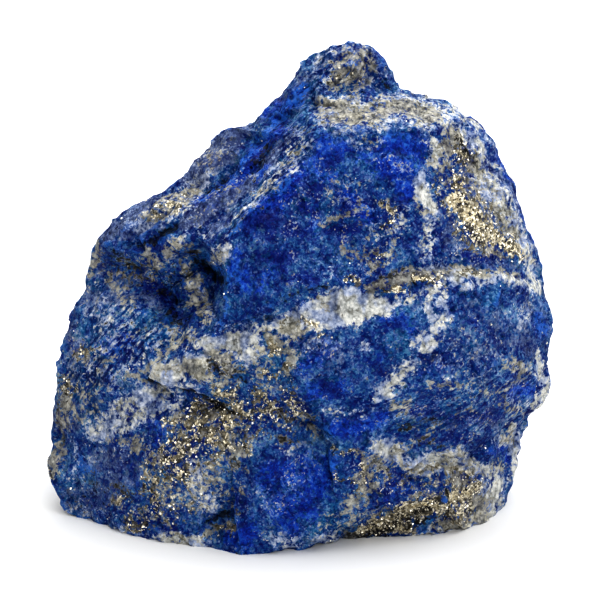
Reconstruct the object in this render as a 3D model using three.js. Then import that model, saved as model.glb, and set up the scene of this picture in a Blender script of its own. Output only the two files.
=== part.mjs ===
// Rough lapis lazuli: one broken stone about 66 mm wide, which rests on a small flat spot.
// Millimetres, +Z up, the front towards -Y. The origin is on the ground under the middle of the stone.
//
// The stone is a closed shell of flat fracture faces. Its corners are listed below, region by region.
// A face joins each three corners that are neighbours as seen from the stone's core. The faces are then
// broken twice into smaller ones, whose corners are pushed in or out along their rays from the core:
// first the chips of the fracture, then its grain. Every ray meets the shell once, so the result is
// always one closed body.
import * as THREE from "three";
import { ConvexHull } from "three/addons/math/ConvexHull.js";
import { TessellateModifier } from "three/addons/modifiers/TessellateModifier.js";
import { mergeVertices } from "three/addons/utils/BufferGeometryUtils.js";

// Driving dimensions
const STONE_WIDTH = 66; // along X, over everything
const CHIP = { edge: 6.5, push: 0.55 }; // longest edge of a chip, and how far a corner moves either way
const GRAIN = { edge: 2.7, push: 0.2 };

// The core that every corner is seen from. It lies behind the middle, so that the peak's front wall and
// the undersides of the overhangs face away from it.
const CORE = new THREE.Vector3(2, 11, 30);

// The front is given as a drawing made from DRAWN_FROM mm away, looking down by DRAWN_TILT: how far to
// the right, how far up in the drawing, and the Y that the corner lies at. DRAWN_MIDDLE is the point of
// the stone in the middle of the drawing, MIDDLE_UP above the drawing's lower edge.
const DRAWN_FROM = 330;
const DRAWN_TILT = THREE.MathUtils.degToRad(15);
const DRAWN_MIDDLE = new THREE.Vector3(0, -8, 29.2);
const MIDDLE_UP = 33.15;

// Corners of the front: [to the right, up in the drawing, Y]
const FRONT = {
  peakOutline: [
    [3.8, 66.3, 3], [5.8, 66.6, 3], [9, 66.3, 3], [11, 64.8, 3], [12, 62.5, 3.5], [13.2, 60.2, 4],
  ],
  peakWall: [
    [3.2, 63, 0.2], [7, 63.8, -0.4], [10.6, 62.6, 1.2], [4.6, 61, -0.8], [8.4, 61.4, 0],
    [12.3, 60.8, 2.5],
  ],
  rightOutline: [
    [15, 59.8, 4], [18.5, 59.3, 4], [20.8, 57.9, 3], [23, 56.3, 3.5], [24.6, 54.6, 1.5],
    [25.6, 52.6, 2.5], [26, 50.4, 0], [28, 48.3, 1], [28.7, 45, 0], [29, 43.2, 1],
    [30.4, 40.8, -0.5], [31.3, 38.3, 0], [31.2, 36, -1], [32, 33.5, -0.5], [32.9, 31, -2.5],
    [32.5, 28.5, -1], [32.2, 25.5, -2], [32.5, 22.5, 0], [31.8, 20, -1], [30, 18.7, -1],
    [28.3, 16.7, -1.5], [28.6, 15, -1], [28.4, 12, -4], [27.2, 9, -3], [26.4, 6.5, -6],
    [25.2, 3.8, -9],
  ],
  leftOutline: [
    [1.5, 65.1, 3.5], [-0.1, 64.2, 2.5], [-0.5, 62.5, 3], [-2.5, 59.9, 4], [-5, 57.2, 2.5],
    [-7.2, 55.5, 3.5], [-9, 55.6, 2], [-10.3, 55, 3], [-12.5, 52.3, 3.5], [-14.5, 49.9, 2],
    [-16, 47.7, 3], [-18.5, 46.8, 0.5], [-22.5, 45.1, 1], [-25, 42.8, 0], [-26.6, 40.8, 1],
    [-27, 39, 0], [-27.6, 37, 0.5], [-27.7, 34.5, -1], [-28.5, 32, -2], [-29.8, 31, -0.5],
    [-30.4, 29, -1], [-31.1, 27, -3], [-31.6, 24, -1], [-31.6, 21, -4], [-31.9, 18.5, -2],
    [-31.5, 16, -4], [-32.1, 14, -3], [-33, 11.5, -5], [-32.4, 9.5, -8], [-30.4, 6.2, -9],
    [-27.5, 5.3, -11], [-25.2, 4.1, -13], [-22.8, 3.1, -15.5], [-20, 2.1, -18],
  ],
  terraceLip: [
    [1.7, 55.3, -9], [6, 55.3, -10.5], [10.5, 55.3, -10.5], [15, 55.7, -9.5], [18.5, 56.3, -7],
  ],
  terrace: [
    [1.6, 58.6, -1.5], [4.5, 59.8, 0], [9, 60.2, 1], [6, 57.6, -5.5], [13, 57.7, -5],
    [16.5, 58.2, -1.5], [20.3, 56.6, -3],
  ],
  // The left flank steps down to the front in beds, with a slot under the upper one
  upperBed: [
    [-12.5, 50.2, -0.8], [-9.5, 53.2, 0], [-11.2, 48.8, -2.2], [-8, 51.8, -2], [-5, 55, -1.2],
    [-2.2, 58, -0.4], [1.2, 62, 0.4],
  ],
  upperSlot: [
    [-12.4, 46.9, -1.6], [-10, 48.6, -1.4], [-7.6, 50.8, -1.2], [-5, 53.5, -0.8],
    [-2.2, 56.4, -0.2],
  ],
  middleBed: [
    [-13.4, 45.3, -5.6], [-10.4, 47.2, -5.8], [-8, 49, -5.8], [-5.4, 51.7, -5.6], [-2.4, 54.7, -5],
    [0.8, 58, -3.6], [2.2, 60.4, -1.8],
  ],
  lowerBed: [
    [-12.8, 42.6, -8.8], [-9, 44.9, -9.2], [-6, 47, -9.3], [-3.6, 49.6, -9.2], [-1, 52.2, -8.8],
    [0.6, 54.6, -7.8],
  ],
  frontLeftRidge: [
    [-1, 50.6, -11.2], [-3.5, 47.9, -12.2], [-6, 45.2, -13.2], [-8.2, 43, -13.8],
    [-8.8, 40.6, -14.6], [-10.2, 38.6, -14.6], [-9.4, 36.2, -15.8], [-9.9, 33, -16.6],
    [-10.4, 30.2, -17],
  ],
  leftPlate: [
    [-20, 44.6, -2.8], [-23, 42.2, -3.4], [-25.4, 40.6, -2.6], [-21, 41.6, -5.6], [-17.6, 44, -5],
    [-23.8, 39.6, -4.8], [-15.8, 45.8, -3.4], [-19, 42.8, -5.6],
  ],
  leftSlot: [[-20.4, 40.6, -3.4], [-18.2, 41.8, -3], [-16, 43, -2.8]],
  leftStrip: [
    [-20, 39.2, -7], [-17.4, 41.2, -7.2], [-14.6, 43.2, -7.2], [-16.2, 39.6, -9.2],
    [-13.2, 41.2, -9.8],
  ],
  hollow: [
    [-14.4, 39.4, -7], [-12, 37.8, -6], [-10.9, 36.2, -7], [-11.6, 33, -9.4], [-14, 35.6, -9.8],
    [-13.4, 31.6, -12.4], [-17, 34.4, -4.6], [-15.8, 32.4, -6.6], [-18.6, 37, -4.2],
  ],
  leftSide: [
    [-24, 37.8, -2], [-21, 37.4, -3.4], [-25.4, 34.4, -3.2], [-21.6, 34, -5.4], [-26, 32, -5.4],
    [-22, 32, -8], [-18.6, 31, -9.4], [-15.4, 29.6, -12], [-28.4, 28.6, -5], [-24.4, 27.6, -9.4],
    [-20, 27.6, -12], [-16, 27.4, -14], [-29.4, 22, -6], [-26, 22.4, -9.8], [-22, 23.8, -12.6],
    [-20, 23.8, -13.6],
  ],
  frontFace: [
    [4, 51.6, -12.2], [9, 52, -12.4], [13.5, 52, -11.4], [0, 47, -14], [5, 46.6, -14.6],
    [10, 46.6, -14.2], [14.4, 46.6, -13.4], [-4, 42.6, -15.6], [0, 41.6, -16.6], [5, 41, -16.4],
    [10, 41, -16.2], [14.4, 41, -15.4], [-5.4, 37.8, -17.4], [-1, 38.2, -18.4], [3, 38, -18.2],
    [8, 38.4, -17.6], [12.8, 38.6, -16.8], [-6.8, 34, -18.6], [-3, 35, -19.6],
  ],
  frontFaceLip: [
    [-9.8, 29.6, -18.2], [-6.4, 30.9, -19.6], [-3, 32.1, -20.8], [0, 33.6, -21.2], [2.6, 35, -20.8],
    [5.4, 35, -20.4], [8.4, 36, -19.4], [12, 36.8, -18.2], [16, 37, -17],
  ],
  rightFace: [
    [17, 53, -9], [16, 50, -11.2], [16, 47, -12.8], [16.2, 43, -14.2], [17, 39.6, -15.4],
    [21, 53.6, -5], [23.6, 51, -3], [20, 49.6, -8], [24.6, 47.6, -5], [20, 45, -11.4],
    [23.2, 43.6, -10], [26.6, 42.6, -6], [19.6, 40, -13.8], [24, 39.2, -12], [28.6, 39, -6.4],
    [27.4, 37, -9], [22, 37.2, -13.8], [30, 36.4, -3.6], [18.6, 36.6, -16],
  ],
  veinLedge: [
    [-18.8, 24, -15.8], [-17.4, 22.5, -17.4], [-14.6, 22, -18.6], [-16, 26, -16.4],
    [-12, 28, -17.2], [-11.6, 24, -19.4], [-8.4, 29.2, -18], [-8, 25.2, -20.4], [-4.6, 30.6, -19],
    [-3.5, 26.8, -21.2], [-0.8, 31.9, -19.8], [1, 28.8, -21.8], [4.4, 33.6, -19.6], [6, 30.2, -22],
    [9.6, 34.4, -18.8], [10, 31, -21], [14, 35.4, -17.8], [13.8, 32.4, -20],
  ],
  crackUnderVein: [[-18.8, 22, -14.4], [-16.2, 20.6, -15.4], [-12.8, 19.6, -16.8]],
  lowerLeft: [
    [-26, 17.6, -10], [-22.4, 19, -13], [-20, 21, -14.4], [-18, 18.6, -16.4], [-21, 16, -15],
    [-14, 17.4, -18.4], [-9, 19.6, -19], [-8, 15.6, -20.4], [-4, 21, -20.6], [-4, 17, -21],
    [-0.8, 18, -21.2], [-13, 12, -20.4], [-18, 12.6, -18], [-24, 13, -14], [-28.4, 13.6, -9],
    [-29, 10, -9.4], [-24, 9, -15], [-18, 8, -18.6], [-13, 7, -20.4], [-9, 11.6, -21],
    [-18, 4, -19.6], [-24, 6, -15.6],
  ],
  crevice: [[-9.8, 5.2, -19.2], [-7.4, 6.8, -19.8]],
  lowerBulge: [
    [-6.4, 10, -22.4], [-5, 14, -22.4], [-1, 14.8, -22.4], [-5.6, 6.2, -24], [-8, 2.6, -24],
    [0, 8, -24.4], [-2, 3, -24], [4, 11.6, -23.8], [4.6, 7.4, -23.6], [10, 11.6, -21.8],
    [13, 10.6, -20.4],
  ],
  undercutLip: [
    [2.6, 2.6, -23], [5.6, 4.8, -22.6], [8.4, 6.4, -22], [11.6, 7.6, -21], [15, 8.4, -20],
    [19, 9.4, -18], [22.4, 10.6, -14.8],
  ],
  undercut: [
    [5, 2.4, -17], [8, 4, -15.2], [11.6, 5.2, -14.2], [15.4, 6.2, -13.8], [19.2, 7.4, -13.2],
  ],
  middleBlock: [
    [2, 26.6, -22.6], [6, 27.4, -22.6], [9, 29.2, -22], [0.6, 22, -23], [6, 22, -23.2],
    [3, 20, -22.8], [10, 25, -22.2], [13.4, 27.6, -21.6], [9, 20.6, -22.2],
  ],
  darkCorner: [[1.2, 17.2, -19.8], [3.4, 14.6, -20.4]],
  wedge: [
    [3.4, 16.4, -22.4], [5.2, 14.6, -22.4], [10, 19.4, -22], [9.6, 14.6, -21.8], [4.6, 18.2, -22],
    [12, 22.4, -21.4], [14.6, 24.8, -21],
  ],
  rightLump: [
    [17, 35, -18], [19.4, 33.6, -18.8], [17, 30, -20.4], [16, 26.6, -21], [22, 35.2, -17],
    [26.4, 35.8, -12.6], [29.4, 34.4, -7.6], [24, 30, -17], [29, 29, -10.8], [20, 26.6, -19.8],
    [25.4, 25.6, -16.4], [29.6, 25, -9.8], [30.8, 22, -7.4], [14, 21.8, -21.6], [18, 22.8, -21.2],
    [22.6, 21.2, -18.8], [27.4, 22.6, -13.4], [30, 19.8, -7], [13, 18, -20.4], [18, 17.6, -19],
    [23, 17.2, -16], [27, 17.8, -10.6],
  ],
  rightLumpLip: [
    [12, 13.4, -19.6], [17, 13.4, -18.6], [21, 13.6, -16.6], [25, 15.2, -12.4], [28, 17.4, -6.4],
  ],
  underRightLump: [
    [15, 12.5, -17.2], [18, 12.8, -15.6], [22, 13.2, -13], [25.4, 14.4, -8.4], [27.4, 16, -3.6],
  ],
  lowerRight: [
    [8.8, 2.9, -17], [13, 3.2, -17.4], [17, 3.8, -16.8], [21, 4.8, -15.2], [24.6, 8, -10.8],
    [24, 5.4, -11.8], [25, 11, -10], [26.6, 13, -5.6], [18.4, 11.4, -16.6], [21.4, 11.8, -14.6],
  ],
  footFront: [
    [-17.5, 1, -19.5], [-15, 0.7, -20.6], [-12.4, 0.5, -21.6], [-10.4, 0.2, -22.8], [-8, -0.1, -24],
    [-4.8, 0.2, -23.4], [-2, 0.9, -21], [1, 1.4, -18.8], [5, 1.8, -17], [12, 1.6, -16.8],
    [16, 1.5, -16.6], [19.4, 1.5, -16.2], [22.8, 2.2, -13.6],
  ],
};

// Corners of the back, the left and right ends and the underside: [X, Y, Z]
const BACK = {
  // One long ridge falls from the peak, between two broad faces
  ridge: [[6.5, 9, 58.6], [4.5, 14, 51], [2, 19, 41], [-1.5, 22.4, 31.5]],
  rightShoulder: [
    [13.5, 9, 52.4], [21, 9.5, 48], [26, 8.5, 41.5], [12.5, 15.6, 45], [18.5, 15.8, 38.5],
  ],
  // A step runs across the right face, where a vein parted
  stepLip: [[3.5, 22.6, 32.6], [11.5, 21.8, 32.2], [20, 18, 31.4], [28.2, 9.6, 30.2]],
  stepFoot: [[3, 21.4, 30.4], [11.5, 18.8, 29.6], [19.8, 15, 28.8], [28.4, 6.8, 27.6]],
  rightFace: [
    [-3, 23.2, 21.5], [6.5, 21.4, 17.5], [15, 18.6, 20.5], [24.5, 12.6, 21.5], [31, 4.6, 20.5],
    [27.6, 8.8, 12.5], [28.2, 3.6, 6.6], [20.6, 11.6, 13.8], [15.6, 15, 12.4],
  ],
  leftShoulder: [
    [-6.5, 10, 47.4], [-9.4, 14.4, 42.4], [-15.5, 10.5, 40], [-17.6, 14, 36.4], [-24, 9, 35.4],
    [-7, 18, 37.4],
  ],
  leftStep: [
    [-11, 16.8, 33.6], [-20.5, 13, 31.4], [-28, 6.4, 28.6], [-11.4, 20.8, 30.6],
    [-20.8, 17.6, 28.2], [-28.4, 9.6, 25.4],
  ],
  leftFace: [
    [-12.4, 22, 17.6], [-21, 17.4, 14.2], [-31, 4, 15], [-27.4, 9.6, 10.6], [-16.8, 20, 23],
  ],
  // A chip is missing low on the left
  missingChip: [[-17.4, 15, 11.2], [-12.4, 17.6, 11.8]],
  low: [
    [-13, 18.6, 6.4], [-22, 12.2, 6], [-3, 20.6, 7.4], [6, 20.4, 5.6], [16.4, 17.2, 7.6],
    [23, 10.5, 5.4],
  ],
  underside: [
    [-27, 0, 5.5], [-21.6, 4, 3.2], [-21.4, -7, 2.8], [-17, -14, 1.3], [-9.6, -19, 0.7],
    [22.4, -2.6, 2.4], [20, -10.4, 1.1], [12, -14.8, 0.6], [1, -16.4, 0.6], [17.6, 8, 2.4],
    [8, 15, 1.8], [-5, 16, 2], [-15, 12, 2.6],
  ],
  // Under the ground, so that the stone ends in a flat spot there
  foot: [
    [-12, 7.6, -0.6], [-3, 10.6, -0.6], [8, 9.6, -0.6], [14.6, 3.6, -0.6], [15.4, -5.6, -0.6],
    [-14, -2, -0.6], [-12, -11.4, -0.6], [-2, -12.6, -0.6], [8, -11.6, -0.6], [0, -2, -0.6],
  ],
};

// A corner of the drawing as a point of the stone
function drawnCorner([right, up, y]) {
  const [sin, cos] = [Math.sin(DRAWN_TILT), Math.cos(DRAWN_TILT)];
  const rise = up - MIDDLE_UP;
  const beyond = (y - DRAWN_MIDDLE.y - rise * sin) / (cos + (rise * sin) / DRAWN_FROM);
  const spread = 1 + beyond / DRAWN_FROM;
  return new THREE.Vector3(
    DRAWN_MIDDLE.x + right * spread,
    y,
    DRAWN_MIDDLE.z + rise * spread * cos - beyond * sin,
  );
}

// The shell of flat faces between the corners, as triangles
function shell(corners) {
  const cornerOn = new Map(corners.map((corner) => [corner.clone().sub(CORE).normalize(), corner]));
  const hull = new ConvexHull().setFromPoints([...cornerOn.keys()]);
  const triangles = [];
  for (const face of hull.faces) {
    const loop = [];
    let edge = face.edge;
    do {
      loop.push(cornerOn.get(edge.head().point));
      edge = edge.next;
    } while (edge !== face.edge);
    for (let i = 2; i < loop.length; i++) triangles.push(loop[0], loop[i - 1], loop[i]);
  }
  return new THREE.BufferGeometry().setFromPoints(triangles);
}

// A number from -1 to 1 that is always the same for the same point
function scatter({ x, y, z }) {
  const wave = Math.sin(x * 12.9 + y * 78.2 + z * 37.7) * 4375.5;
  return 2 * (wave - Math.floor(wave)) - 1;
}

// Breaks the faces until no edge is longer than `edge`. The corners of before stay, and each new one is
// moved up to `push` along its ray.
function roughen(geometry, { edge, push }) {
  const key = (attribute, i) => `${attribute.getX(i)} ${attribute.getY(i)} ${attribute.getZ(i)}`;
  const before = geometry.getAttribute("position");
  const stays = new Set();
  for (let i = 0; i < before.count; i++) stays.add(key(before, i));
  const broken = new TessellateModifier(edge, 12).modify(geometry);
  broken.deleteAttribute("normal");
  const joined = mergeVertices(broken, 1e-4);
  const position = joined.getAttribute("position");
  for (let i = 0; i < position.count; i++) {
    if (stays.has(key(position, i))) continue;
    const ray = new THREE.Vector3().fromBufferAttribute(position, i).sub(CORE);
    ray.setLength(ray.length() + push * scatter(ray)).add(CORE);
    position.setXYZ(i, ...ray);
  }
  return joined;
}

// Stops every corner that lies under the ground where its ray meets the ground
function flattenFoot(geometry) {
  const position = geometry.getAttribute("position");
  for (let i = 0; i < position.count; i++) {
    const ray = new THREE.Vector3().fromBufferAttribute(position, i).sub(CORE);
    const reach = ray.z < 0 ? Math.min(1, CORE.z / -ray.z) : 1;
    position.setXYZ(i, ...ray.multiplyScalar(reach).add(CORE));
  }
}

// Scales the stone to its width and stands it on the origin
function standOnOrigin(geometry) {
  geometry.computeBoundingBox();
  const size = geometry.boundingBox.getSize(new THREE.Vector3());
  geometry.scale(...Array(3).fill(STONE_WIDTH / size.x));
  geometry.computeBoundingBox();
  const middle = geometry.boundingBox.getCenter(new THREE.Vector3());
  geometry.translate(-middle.x, -middle.y, -geometry.boundingBox.min.z);
}

function stone() {
  const front = Object.values(FRONT).flat().map(drawnCorner);
  const back = Object.values(BACK).flat().map((corner) => new THREE.Vector3(...corner));
  const geometry = roughen(roughen(shell([...front, ...back]), CHIP), GRAIN);
  flattenFoot(geometry);
  standOnOrigin(geometry);
  geometry.computeVertexNormals();
  const lapis = new THREE.MeshStandardMaterial({ color: 0x1b2f8f, roughness: 0.7, metalness: 0 });
  const mesh = new THREE.Mesh(geometry, lapis);
  mesh.name = "stone";
  return mesh;
}

const group = new THREE.Group();
group.add(stone());

export default group;
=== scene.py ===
"""How the rough lapis lazuli looks: the broken surface of the stone, the minerals in it, painted shade in its
hollows and cracks, painted highlights on its edges, and its loose pyrite.

Metres, in the frame of the CAD part: +Z up, the front of the stone towards -Y. Values named _MM are
millimetres of the real stone.
"""

from functools import partial

import bpy
import numpy as np
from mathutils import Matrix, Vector, noise


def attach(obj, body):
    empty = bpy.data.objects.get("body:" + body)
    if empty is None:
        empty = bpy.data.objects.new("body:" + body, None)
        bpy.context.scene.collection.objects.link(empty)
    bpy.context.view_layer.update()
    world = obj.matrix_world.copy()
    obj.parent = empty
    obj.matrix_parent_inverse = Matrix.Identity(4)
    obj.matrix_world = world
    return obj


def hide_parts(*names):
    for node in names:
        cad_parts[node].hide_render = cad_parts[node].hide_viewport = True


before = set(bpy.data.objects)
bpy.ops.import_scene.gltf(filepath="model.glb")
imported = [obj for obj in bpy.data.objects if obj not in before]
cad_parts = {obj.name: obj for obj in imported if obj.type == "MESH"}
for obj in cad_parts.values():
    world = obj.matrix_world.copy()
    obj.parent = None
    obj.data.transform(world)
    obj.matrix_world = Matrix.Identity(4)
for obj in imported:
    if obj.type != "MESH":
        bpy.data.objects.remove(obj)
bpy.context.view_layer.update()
MM = 0.001

# ------------------------------------------------------------------------------------------------
# Where the stone is looked at from, which is also what the marks below are drawn in
# ------------------------------------------------------------------------------------------------
LOOKED_AT_MM = np.array([0.15, -7.26, 28.55])
AWAY_MM = 322.6
TILT = np.radians(15)
AHEAD = np.array([0, np.cos(TILT), -np.sin(TILT)])
UPWARD = np.array([0, np.sin(TILT), np.cos(TILT)])
DRAWN_AWAY_MM = 330  # the drawing's own distance, at which its millimetres are true
DRAWN_MIDDLE_UP_MM = 33.15
PICTURE_WIDTH_MM = 78


def drawn(points_mm, normals):
    """Where each point is in the drawing of the front, right and up, and how much it faces the drawing."""
    eye = LOOKED_AT_MM - AWAY_MM * AHEAD
    ray = points_mm - eye
    depth = ray @ AHEAD
    right = DRAWN_AWAY_MM * ray[:, 0] / depth
    up = DRAWN_MIDDLE_UP_MM + DRAWN_AWAY_MM * (ray @ UPWARD) / depth
    facing = -(ray * normals).sum(axis=1) / np.linalg.norm(ray, axis=1)
    return right, up, facing
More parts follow.
